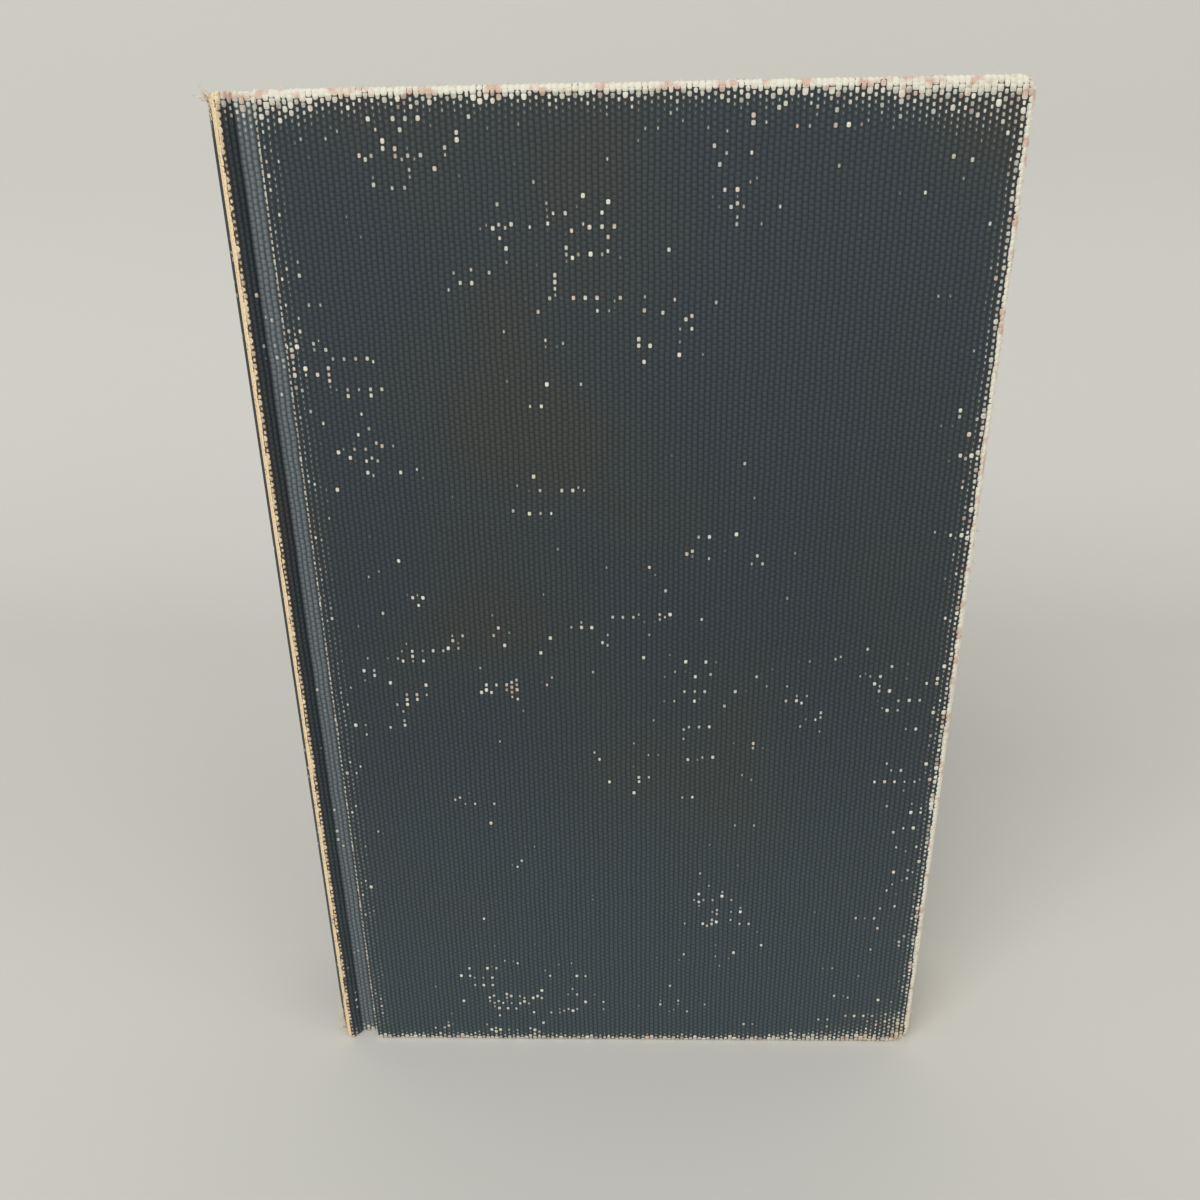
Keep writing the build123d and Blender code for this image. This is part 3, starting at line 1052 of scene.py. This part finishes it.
    def wear_values(self, x: Array, z: Array, run: Array) -> dict[str, Array]:
        """How worn and tanned each point is, and how far it takes the paler groove band, from its place
        alone.

        Edges wear by a fall-off from the head, tail and fore-edge; corners by their
        distance from the corner; the shoulder ridge and the board's ridge by their
        distance along the path.

        Args:
            x: Distance from spine to fore-edge.
            z: Height.
            run: Distance along the path.

        Returns:
            The wear and tan values, and the share of the paler groove band.
        """
        head = np.maximum(self.height - 0.8 * MM - z, 0.0)
        tail = np.maximum(z - 0.7 * MM, 0.0)
        fore = np.maximum(66.3 * MM - x, 0.0)
        near_corner = smoothstep(x, 30.0 * MM, 64.0 * MM)
        head_reach = (0.9 + 2.3 * near_corner + 1.2 * smoothstep(-x, 40.0 * MM, 54.0 * MM)) * MM
        head_wear = 1.05 * np.exp(-head / head_reach) + 0.16 * np.exp(-head / (9.0 * MM))
        tail_reach = 0.8 * MM + 1.6 * MM * near_corner
        tail_wear = 0.85 * np.exp(-tail / tail_reach) + 0.08 * np.exp(-tail / (8.0 * MM))
        fore_wear = 1.05 * np.exp(-fore / (0.75 * MM)) + 0.22 * np.exp(-fore / (5.0 * MM))
        head_corner = 1.0 * np.exp(-np.hypot(head, fore) / (4.0 * MM))
        tail_corner = 1.1 * np.exp(-np.hypot(tail, fore) / (5.5 * MM))
        shoulder_run = 15.25 * MM
        shoulder = 1.15 * np.exp(-(((run - shoulder_run) / (1.15 * MM)) ** 4))
        board_run = 22.9 * MM
        ridge = (0.62 + 0.3 * smoothstep(z, 150.0 * MM, 190.0 * MM)) * np.exp(
            -(((run - board_run) / (0.55 * MM)) ** 2)
        )
        beside = 0.18 * np.exp(-(((run - board_run - 3.0 * MM) / (3.0 * MM)) ** 2))
        end = np.exp(-np.minimum(head, tail) / (3.5 * MM))
        spine_end = np.where(run < shoulder_run + 1.0 * MM, 0.95 * end, 0.0)
        edges = np.maximum.reduce([head_wear, tail_wear, fore_wear, head_corner, tail_corner])
        wear = np.maximum.reduce([edges, shoulder, ridge + beside, spine_end])
        wall = np.exp(-(((run - 18.2 * MM) / (1.1 * MM)) ** 2))
        wear = wear * (1.0 - 0.85 * wall * (1.0 - np.exp(-head / (2.0 * MM))))
        tan = np.exp(-(((run - shoulder_run) / (1.6 * MM)) ** 4))
        tan = np.maximum(tan, np.where(run < shoulder_run + 1.5 * MM, end, 0.0))
        tan = np.maximum(tan, 0.8 * np.exp(-np.hypot(tail, fore) / (5.0 * MM)))
        # A paler grey-blue band over the groove's floor, from about 19 to 23 mm along the path.
        fade = smoothstep(run, 18.9 * MM, 19.8 * MM) * (1.0 - smoothstep(run, 21.6 * MM, 22.8 * MM))
        return {WEAR: wear, TAN: tan, PALE_BAND: 0.8 * fade}

    def build(self, finish: bpy.types.Material) -> bpy.types.Object:
        """Builds the piece, dresses it and hides the CAD parts that it replaces.

        Args:
            finish: The cloth's material.

        Returns:
            The finished piece.
        """
        face = self.face()
        edge = self.border(face)
        ring = self.ring(edge)
        rows, columns = face["x"].shape
        relief = -self.rib_relief * np.cos(2.0 * math.pi * face["run"] / self.rib_pitch)
        face_points = np.stack(
            [
                face["x"] + relief * face["normal"][..., 0],
                face["out"] + relief * face["normal"][..., 1],
                face["z"],
            ],
            axis=-1,
        ).reshape(-1, 3)
        fades = 1.0 - np.abs(edge["nx"])
        lift = -self.rib_relief * np.cos(2.0 * math.pi * ring["run"] / self.rib_pitch) * fades
        wander = edge["run"] / (4.0 * MM) + edge["z"] / (5.0 * MM)
        rough = self.edge_roughness * soft_noise(wander, self.seed + self.side.value)
        lift = lift + rough * np.sin(np.clip(np.arange(len(ring["x"])) + 1, 0, 6) * math.pi / 6.0)[:, None]
        ring_points = np.stack(
            [
                ring["x"] + lift * ring["ox"],
                ring["out"] + lift * ring["oo"],
                ring["z"] + lift * ring["oz"],
            ],
            axis=-1,
        )
        count = rows * columns
        levels, around = ring["x"].shape
        ring_numbers = count + np.arange(levels * around).reshape(levels, around)
        numbers = np.concatenate([edge["index"][None], ring_numbers])
        quads = np.stack([numbers[:-1, :-1], numbers[:-1, 1:], numbers[1:, 1:], numbers[1:, :-1]], axis=-1)
        points = np.concatenate([face_points, ring_points.reshape(-1, 3)])
        places = np.concatenate(
            [
                np.stack([face["run"], face["z"]], axis=-1).reshape(-1, 2),
                np.stack([ring["run"], ring["along"]], axis=-1).reshape(-1, 2),
            ]
        )
        run = np.concatenate([face["run"].ravel(), np.repeat(edge["run"][None], levels, axis=0).ravel()])
        values = self.wear_values(points[:, 0], points[:, 2], run)
        points[:, 1] = points[:, 1] * self.side.value
        faces = np.concatenate([grid_faces(rows, columns), quads.reshape(-1, 4)])
        piece = make_piece(f"{self.side.label}_covering_cloth", points, faces, self.side is Side.BACK)
        store_map(piece, places)
        for name, stored in values.items():
            store_values(piece, name, stored)
        piece.data.materials.append(finish)
        solid = piece.modifiers.new("Cloth thickness", "SOLIDIFY")
        solid.thickness = self.thickness
        solid.offset = -1.0
        return self.settle(piece)

    def settle(self, piece: bpy.types.Object) -> bpy.types.Object:
        """Args:
            piece: The finished mesh.

        Returns:
            The same piece.
        """
        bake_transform(piece)
        stands_for = [f"{self.side.label}_cover_cloth"]
        if self.side is Side.FRONT:
            stands_for.append("spine_cloth")
        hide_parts(*stands_for)
        return piece


@dataclass
class Endpaper:
    """One folded endpaper: a free leaf on the block, and its half pasted to the cover."""

    side: Side
    block_out: float = 11.2 * MM
    on_turn_in: float = 11.5 * MM
    in_window: float = 12.0 * MM
    on_wing: float = 11.75 * MM
    fold_x: float = -59.1 * MM
    leaf_edge: float = 64.0 * MM
    paste_edge: float = 63.5 * MM
    tail: float = 3.0 * MM
    head: float = 194.0 * MM
    thickness: float = 0.15 * MM
    flat_size: tuple[float, float] = (0.247, 0.191)

    def relief(self, x: Array, z: Array) -> Array:
        """The pasted half's height: sunk inside the turn-ins, raised over the gauze.

        Args:
            x: Distance from spine to fore-edge.
            z: Height.

        Returns:
            The distance out from the middle plane.
        """
        soft = 1.2 * MM
        window = smoothstep(51.5 * MM - x, -soft * 0.3, soft)
        window = window * smoothstep(z, 15.5 * MM - 0.3 * soft, 15.5 * MM + soft)
        window = window * smoothstep(-z, -181.5 * MM - 0.3 * soft, -181.5 * MM + soft)
        wing = smoothstep(-x, 34.0 * MM - soft, 34.0 * MM)
        sunk = self.on_turn_in + window * (self.in_window - self.on_turn_in)
        return sunk - window * wing * (self.in_window - self.on_wing)

    def build(self, finish: bpy.types.Material) -> bpy.types.Object:
        """Builds the folded sheet as one grid and dresses it.

        The columns run along the free leaf to the fold, round the fold on a half circle,
        and back along the pasted half. The rows run from tail to head.

        Args:
            finish: The paper's material.

        Returns:
            The finished piece.
        """
        leaf = np.linspace(self.leaf_edge, self.fold_x, 26)
        turn = np.linspace(0.0, math.pi, 26)[1:-1]
        radius = 0.5 * (self.on_turn_in - self.block_out)
        folds = self.fold_x - radius * np.sin(turn)
        pasted = np.concatenate(
            [
                np.linspace(self.fold_x, -56.0 * MM, 8),
                np.linspace(-52.0 * MM, -35.5 * MM, 5),
                np.linspace(-35.2 * MM, -33.6 * MM, 6),
                np.linspace(-30.0 * MM, 49.0 * MM, 14),
                np.linspace(50.2 * MM, 52.0 * MM, 6),
                np.linspace(54.0 * MM, self.paste_edge, 4),
            ]
        )
        x = np.concatenate([leaf, folds, pasted])
        middle = self.block_out + radius * (1.0 - np.cos(turn))
        share = np.concatenate([0.0 * leaf, 0.0 * folds, np.ones(len(pasted))])
        base = np.concatenate([0.0 * leaf + self.block_out, middle, 0.0 * pasted + self.on_turn_in])
        near_tail = np.array([0.0, 4.0, 9.0, 11.9, 12.3, 12.7, 13.1, 13.5, 15.0]) * MM
        rows = np.concatenate(
            [near_tail, np.linspace(22.0 * MM, 169.0 * MM, 14), self.head - self.tail - near_tail[::-1]]
        )
        z = self.tail + rows
        shape = (len(z), len(x))
        grid_x = np.repeat(x[None, :], shape[0], axis=0)
        grid_z = np.repeat(z[:, None], shape[1], axis=1)
        trim = 0.5 * MM * share
        grid_z = np.clip(grid_z, self.tail + trim, self.head - trim)
        lift = smoothstep(grid_x, self.fold_x, self.fold_x + 1.6 * MM)
        pasted_out = self.on_turn_in + lift * (self.relief(grid_x, grid_z) - self.on_turn_in)
        out = np.where(share[None, :] > 0, pasted_out, base[None, :])
        points = np.stack([grid_x, out * self.side.value, grid_z], axis=-1).reshape(-1, 3)
        run = np.concatenate([[0.0], np.cumsum(np.hypot(np.diff(x), np.diff(base)))])
        piece = make_piece(
            f"{self.side.label}_endpaper", points, grid_faces(*shape), self.side is Side.FRONT
        )
        grid_run = np.repeat(run[None, :], shape[0], axis=0)
        store_map(piece, np.stack([grid_run, grid_z], axis=-1).reshape(-1, 2))
        piece.data.materials.append(finish)
        solid = piece.modifiers.new("Paper thickness", "SOLIDIFY")
        solid.thickness = self.thickness
        solid.offset = 0.0
        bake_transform(piece)
        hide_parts(f"{self.side.label}_flyleaf", f"{self.side.label}_pastedown")
        return piece


@dataclass
class TextBlock:
    """The leaves as one block, with the rounded back and the hollow fore-edge.

    Each station across the thickness is a rectangle of points standing along the leaf.
    The stations run from one shoulder's tip to the other, and each leaf bundle sits a
    little in or out of its neighbours.
    """

    leaf_half: float = 11.1 * MM
    shoulder_half: float = 12.75 * MM
    tail: float = 3.0 * MM
    head: float = 194.0 * MM
    spine_centre: float = -41.21 * MM
    arc_radius: float = 23.89 * MM
    fore_edge: float = 64.0 * MM
    foot: float = -59.3 * MM
    stations: int = 90
    stray: float = 0.11 * MM
    seed: int = 7

    def plan(self) -> tuple[Array, Array, Array]:
        """Where each station stands, and its spine and fore-edge ends.

        The spine's end is the arc about the spine's centre. The fore-edge's end is the
        same arc, moved until the outer leaves reach the fore-edge. Beyond the outer
        leaves the ends lie on the shoulder's slope.

        Returns:
            Places across the thickness, spine ends and fore-edge ends.
        """
        main = np.linspace(-self.leaf_half, self.leaf_half, self.stations)
        flare = np.linspace(self.leaf_half + 0.03 * MM, self.shoulder_half, 6)
        y = np.concatenate([-flare[::-1], main, flare])
        spine = self.spine_centre - np.sqrt(self.arc_radius**2 - y**2)
        rim = math.sqrt(self.arc_radius**2 - self.leaf_half**2)
        hollow = self.fore_edge - (np.sqrt(np.maximum(self.arc_radius**2 - y**2, 0.0)) - rim)
        beyond = np.abs(y) > self.leaf_half + 0.01 * MM
        share = (np.abs(y) - self.leaf_half) / (self.shoulder_half - self.leaf_half)
        tip = self.spine_centre - math.sqrt(self.arc_radius**2 - self.shoulder_half**2) + 0.15 * MM
        slope = self.foot + share * (tip - self.foot)
        return y, spine, np.where(beyond, slope, hollow)

    def build(self, finish: bpy.types.Material) -> bpy.types.Object:
        """Lofts the stations into a closed block and dresses it.

        Args:
            finish: The leaf edges' material.

        Returns:
            The finished piece.
        """
        y, spine, fore = self.plan()
        rng = np.random.default_rng(self.seed)
        inner = (np.abs(y) < self.leaf_half - 0.1 * MM).astype(float)
        push_fore = rng.uniform(-1.0, 0.4, len(y)) * self.stray * inner
        push_end = rng.uniform(-1.0, 0.0, (2, len(y))) * 0.8 * self.stray * inner
        along = np.linspace(0.0, 1.0, 11)[:-1]
        up = np.linspace(0.0, 1.0, 15)[:-1]
        wave = 0.10 * MM * soft_noise(y[:, None] / (9.0 * MM) + up[None, :] * 2.3, 5) * inner[:, None]
        low = (self.tail - push_end[0])[:, None]
        high = (self.head + push_end[1])[:, None]
        width = (fore + push_fore - spine)[:, None]
        x = np.concatenate(
            [
                spine[:, None] + width * along,
                (fore + push_fore)[:, None] + wave * np.sin(math.pi * up),
                spine[:, None] + width * (1.0 - along),
                spine[:, None] + 0.0 * up[None, :],
            ],
            axis=1,
        )
        z = np.concatenate(
            [low + 0.0 * along, low + (high - low) * up, high + 0.0 * along, high - (high - low) * up], axis=1
        )
        stations, around = x.shape
        points = np.stack([x, np.repeat(y[:, None], around, axis=1), z], axis=-1).reshape(-1, 3)
        index = np.arange(stations * around).reshape(stations, around)
        closed = np.concatenate([index, index[:, :1]], axis=1)
        quads = np.stack([closed[:-1, :-1], closed[1:, :-1], closed[1:, 1:], closed[:-1, 1:]], axis=-1)
        piece = make_piece("leaves", points, quads.reshape(-1, 4), True)
        self.cap(piece, index)
        piece.data.materials.append(finish)
        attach(piece, ROOT)
        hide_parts("text_block")
        return piece

    def cap(self, piece: bpy.types.Object, index: Array) -> None:
        """Closes the two shoulder tips with one face each; every face is flat-shaded.

        Args:
            piece: The lofted block.
            index: Point numbers by station.
        """
        mesh = piece.data
        points = np.zeros(len(mesh.vertices) * 3)
        mesh.vertices.foreach_get("co", points)
        faces = [list(face.vertices) for face in mesh.polygons]
        faces.append(index[0].tolist())
        faces.append(index[-1][::-1].tolist())
        mesh.clear_geometry()
        mesh.from_pydata(points.reshape(-1, 3).tolist(), [], faces)
        mesh.update()


@dataclass(frozen=True)
class Tuft:
    """A group of loose threads, which start at random places in a box.

    The box is given by its low and high corners. Each thread leans about one way, and
    its length varies about a mean.
    """

    name: str
    body: str
    count: int
    low: tuple[float, float, float]
    high: tuple[float, float, float]
    lean: tuple[float, float, float]
    length: float
    radius: float
    seed: int


@dataclass
class LooseThreads:
    """Worn thread ends that stand off the cloth at its edges and corners."""

    height: float = 197.0 * MM
    out: float = 14.6 * MM
    rings: int = 6
    sides: int = 5

    def tufts(self, side: Side) -> list[Tuft]:
        """The groups on one cover's edges and on the spine's ends.

        Args:
            side: Which cover.

        Returns:
            The tufts to build.
        """
        sign = float(side.value)
        y_low, y_high = sorted((sign * self.out, sign * (self.out - 2.0 * MM)))
        body = side.body
        label = side.label
        top = self.height - 0.15 * MM
        seed = 40 + 10 * side.value
        head = Tuft(
            f"{label}_head_fuzz",
            body,
            110,
            (-54.0 * MM, y_low, top),
            (64.0 * MM, y_high, top),
            (0.1, 0.1 * sign, 0.9),
            0.7 * MM,
            0.05 * MM,
            seed,
        )
        fore = Tuft(
            f"{label}_fore_edge_fuzz",
            body,
            120,
            (66.9 * MM, y_low, 6.0 * MM),
            (66.9 * MM, y_high, 192.0 * MM),
            (0.8, 0.1 * sign, 0.3),
            0.7 * MM,
            0.05 * MM,
            seed + 1,
        )
        low_corner = Tuft(
            f"{label}_tail_corner_threads",
            body,
            16,
            (62.5 * MM, y_low, 0.9 * MM),
            (65.6 * MM, y_high, 2.4 * MM),
            (0.9, 0.2 * sign, -0.25),
            1.9 * MM,
            0.08 * MM,
            seed + 2,
        )
        high_corner = Tuft(
            f"{label}_head_corner_threads",
            body,
            14,
            (64.6 * MM, y_low, 194.6 * MM),
            (66.2 * MM, y_high, 196.2 * MM),
            (0.6, 0.1 * sign, 0.7),
            1.0 * MM,
            0.07 * MM,
            seed + 3,
        )
        y_low, y_high = sorted((sign * 9.0 * MM, sign * 13.6 * MM))
        spine_head = Tuft(
            f"{label}_spine_head_threads",
            ROOT,
            26,
            (-65.0 * MM, y_low, 195.0 * MM),
            (-62.9 * MM, y_high, 196.4 * MM),
            (-0.5, 0.2 * sign, 0.75),
            1.5 * MM,
            0.09 * MM,
            seed + 4,
        )
        spine_tail = Tuft(
            f"{label}_spine_tail_threads",
            ROOT,
            22,
            (-64.6 * MM, y_low, 0.9 * MM),
            (-62.6 * MM, y_high, 2.2 * MM),
            (-0.6, 0.4 * sign, -0.1),
            1.4 * MM,
            0.09 * MM,
            seed + 5,
        )
        return [head, fore, low_corner, high_corner, spine_head, spine_tail]

    def build(self, tuft: Tuft, finish: bpy.types.Material) -> bpy.types.Object:
        """Builds one tuft as tapered tubes, open at both ends.

        A thread starts at a random place in the tuft's box and runs along its own
        leaning direction, with a bend that grows with the square of the way along. Its
        rings stand square to the mean direction and shrink to a fifth of its radius.

        Args:
            tuft: The group to build.
            finish: The thread's material.

        Returns:
            The finished piece.
        """
        rng = np.random.default_rng(tuft.seed)
        start = rng.uniform(tuft.low, tuft.high, (tuft.count, 3))
        way = np.array(tuft.lean) + rng.normal(0.0, 0.38, (tuft.count, 3))
        way = way / np.linalg.norm(way, axis=1)[:, None]
        bend = rng.normal(0.0, 0.5, (tuft.count, 3))
        length = tuft.length * rng.uniform(0.35, 1.3, tuft.count)
        share = np.linspace(0.0, 1.0, self.rings)
        reach = length[:, None, None] * share[None, :, None]
        line = start[:, None] + reach * (way[:, None] + bend[:, None] * share[None, :, None])
        first = np.cross(way, np.array([0.31, 0.87, 0.38]))
        first = first / np.linalg.norm(first, axis=1)[:, None]
        second = np.cross(way, first)
        angle = np.linspace(0.0, 2.0 * math.pi, self.sides + 1)[:-1]
        spoke = first[:, None] * np.cos(angle)[None, :, None] + second[:, None] * np.sin(angle)[None, :, None]
        girth = tuft.radius * np.sqrt(1.0 - 0.96 * share)
        points = line[:, :, None] + spoke[:, None] * girth[None, :, None, None]
        index = np.arange(points[..., 0].size).reshape(tuft.count, self.rings, self.sides)
        closed = np.concatenate([index, index[:, :, :1]], axis=2)
        near = [closed[:, :-1, :-1], closed[:, :-1, 1:]]
        far = [closed[:, 1:, 1:], closed[:, 1:, :-1]]
        quads = np.stack(near + far, axis=-1)
        piece = make_piece(tuft.name, points.reshape(-1, 3), quads.reshape(-1, 4))
        piece.data.materials.append(finish)
        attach(piece, tuft.body)
        return piece


@dataclass
class InnerLayers:
    """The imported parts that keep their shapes: boards, linings, gauze and sewing."""

    def dress(self, groups: SharedGroups) -> list[str]:
        """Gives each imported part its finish.

        Args:
            groups: The shared node groups.

        Returns:
            The names of the parts dressed.
        """
        board = PaperFinish("Grey board", linear(176, 164, 144), linear(140, 124, 102), 0.3, 0.3)
        lining = PaperFinish("Brown lining paper", linear(176, 148, 108), linear(140, 110, 74), 0.4, 0.2)
        gauze = GauzeFinish("Starched gauze", linear(222, 210, 184), linear(150, 132, 104))
        sewing = ThreadFinish("Sewing thread", linear(232, 222, 198), linear(200, 184, 152))
        made = {
            "board": board.material(groups),
            "lining": lining.material(groups),
            "gauze": gauze.material(groups),
            "sewing": sewing.material(),
        }
        chosen = {
            "front_board": "board",
            "back_board": "board",
            "spine_lining": "lining",
            "spine_inlay": "lining",
            "mull": "gauze",
            "front_mull_wing": "gauze",
            "back_mull_wing": "gauze",
            "sewing_thread": "sewing",
        }
        for node, finish in chosen.items():
            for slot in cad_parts[node].material_slots:
                slot.material = made[finish]
        return list(chosen)


@dataclass
class Studio:
    """The floor, the curved backdrop, the soft lamps and the camera."""

    floor_colour: Colour = linear(205, 204, 198)
    camera_place: tuple[float, float, float] = (2.7 * MM, -182.4 * MM, 176.4 * MM)
    camera_way: tuple[float, float, float] = (-0.027, 0.929, -0.368)
    camera_roll: float = math.radians(-0.93)
    lens: float = 28.5
    sensor: float = 36.0
    bend_start: float = 0.22
    bend_radius: float = 0.22
    half_width: float = 2.5
    wall_height: float = 2.6
    world_light: float = 0.55

    def backdrop(self) -> bpy.types.Object:
        """Builds the floor and backdrop as one sheet bent up behind the book.

        Seen from the side, its line runs flat along the floor, round a quarter circle
        and straight up. It is drawn out sideways.

        Returns:
            The sheet.
        """
        turn = np.linspace(0.0, 0.5 * math.pi, 25)
        bend_y = self.bend_start + self.bend_radius * np.sin(turn)
        y = np.concatenate([[-self.half_width], bend_y, [self.bend_start + self.bend_radius]])
        z = np.concatenate([[0.0], self.bend_radius * (1.0 - np.cos(turn)), [self.wall_height]])
        x = np.linspace(-self.half_width, self.half_width, 5)
        points = np.stack(
            [
                np.repeat(x[:, None], len(y), axis=1),
                np.repeat(y[None], 5, axis=0),
                np.repeat(z[None], 5, axis=0),
            ],
            axis=-1,
        )
        sheet = make_piece("backdrop", points.reshape(-1, 3), grid_faces(5, len(y)))
        material, _, shader = new_material("Pale floor")
        shader.inputs["Base Color"].default_value = (*self.floor_colour, 1.0)
        shader.inputs["Roughness"].default_value = 0.95
        shader.inputs["Specular IOR Level"].default_value = 0.1
        sheet.data.materials.append(material)
        return sheet

    def lamp(self, name: str, place: Vector, size: float, power: float) -> None:
        """Adds a square area lamp that looks at the book.

        Args:
            name: The lamp's name.
            place: Where it hangs.
            size: Its side.
            power: Its power in watts.
        """
        data = bpy.data.lights.new(name, "AREA")
        data.size = size
        data.energy = power
        lamp = bpy.data.objects.new(name, data)
        lamp.location = place
        lamp.rotation_mode = "QUATERNION"
        lamp.rotation_quaternion = (Vector((0.0, 0.0, 0.1)) - place).to_track_quat("-Z", "Y")
        bpy.context.scene.collection.objects.link(lamp)

    def light(self) -> None:
        """Sets the even sky and the soft lamps."""
        world = bpy.data.worlds.new("Soft sky")
        world.use_nodes = True
        ground = world.node_tree.nodes["Background"]
        ground.inputs["Color"].default_value = (1.0, 0.985, 0.96, 1.0)
        ground.inputs["Strength"].default_value = self.world_light
        bpy.context.scene.world = world
        self.lamp("Key", Vector((-0.7, -1.1, 1.2)), 1.0, 16.0)
        self.lamp("Fill", Vector((1.1, -0.9, 0.8)), 1.2, 6.0)

    def camera(self) -> None:
        """Places the camera by its direction and roll and makes it the scene's own."""
        ahead = Vector(self.camera_way).normalized()
        level = ahead.cross(Vector((0.0, 0.0, 1.0))).normalized()
        up = level.cross(ahead)
        right = level * math.cos(self.camera_roll) + up * math.sin(self.camera_roll)
        rolled = up * math.cos(self.camera_roll) - level * math.sin(self.camera_roll)
        data = bpy.data.cameras.new("Camera")
        data.lens = self.lens
        data.sensor_width = self.sensor
        data.clip_start = 0.01
        camera = bpy.data.objects.new("Camera", data)
        turn = Matrix((right, rolled, -ahead)).transposed().to_4x4()
        camera.matrix_world = Matrix.Translation(Vector(self.camera_place)) @ turn
        bpy.context.scene.collection.objects.link(camera)
        bpy.context.scene.camera = camera

    def build(self) -> None:
        """Builds the whole studio."""
        self.backdrop()
        self.light()
        self.camera()
        bpy.context.scene.view_settings.view_transform = "Standard"


def main() -> None:
    """Builds every piece of the book in order."""
    logging.basicConfig(level=logging.INFO, format="%(name)s: %(message)s")
    Studio().build()
    groups = SharedGroups()
    cloth = ClothFinish().material(groups)
    endpaper = PaperFinish(
        "Endpaper", linear(232, 221, 194), linear(206, 184, 142), 0.15, 0.7, ground=Ground.MAP
    ).material(groups)
    leaves = TextBlock().build(LeafEdgeFinish().material(groups))
    LOG.info("built %s", leaves.name)
    path = CoverPath()
    threads = LooseThreads()
    loose = ThreadFinish("Loose cotton", linear(228, 216, 192), linear(176, 150, 122)).material()
    for side in Side:
        LOG.info("built %s", CoverCloth(side, path).build(cloth).name)
        LOG.info("built %s", Endpaper(side).build(endpaper).name)
        for tuft in threads.tufts(side):
            LOG.info("built %s", threads.build(tuft, loose).name)
    LOG.info("dressed %s", ", ".join(InnerLayers().dress(groups)))
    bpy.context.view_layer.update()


if __name__ == "__main__":
    main()
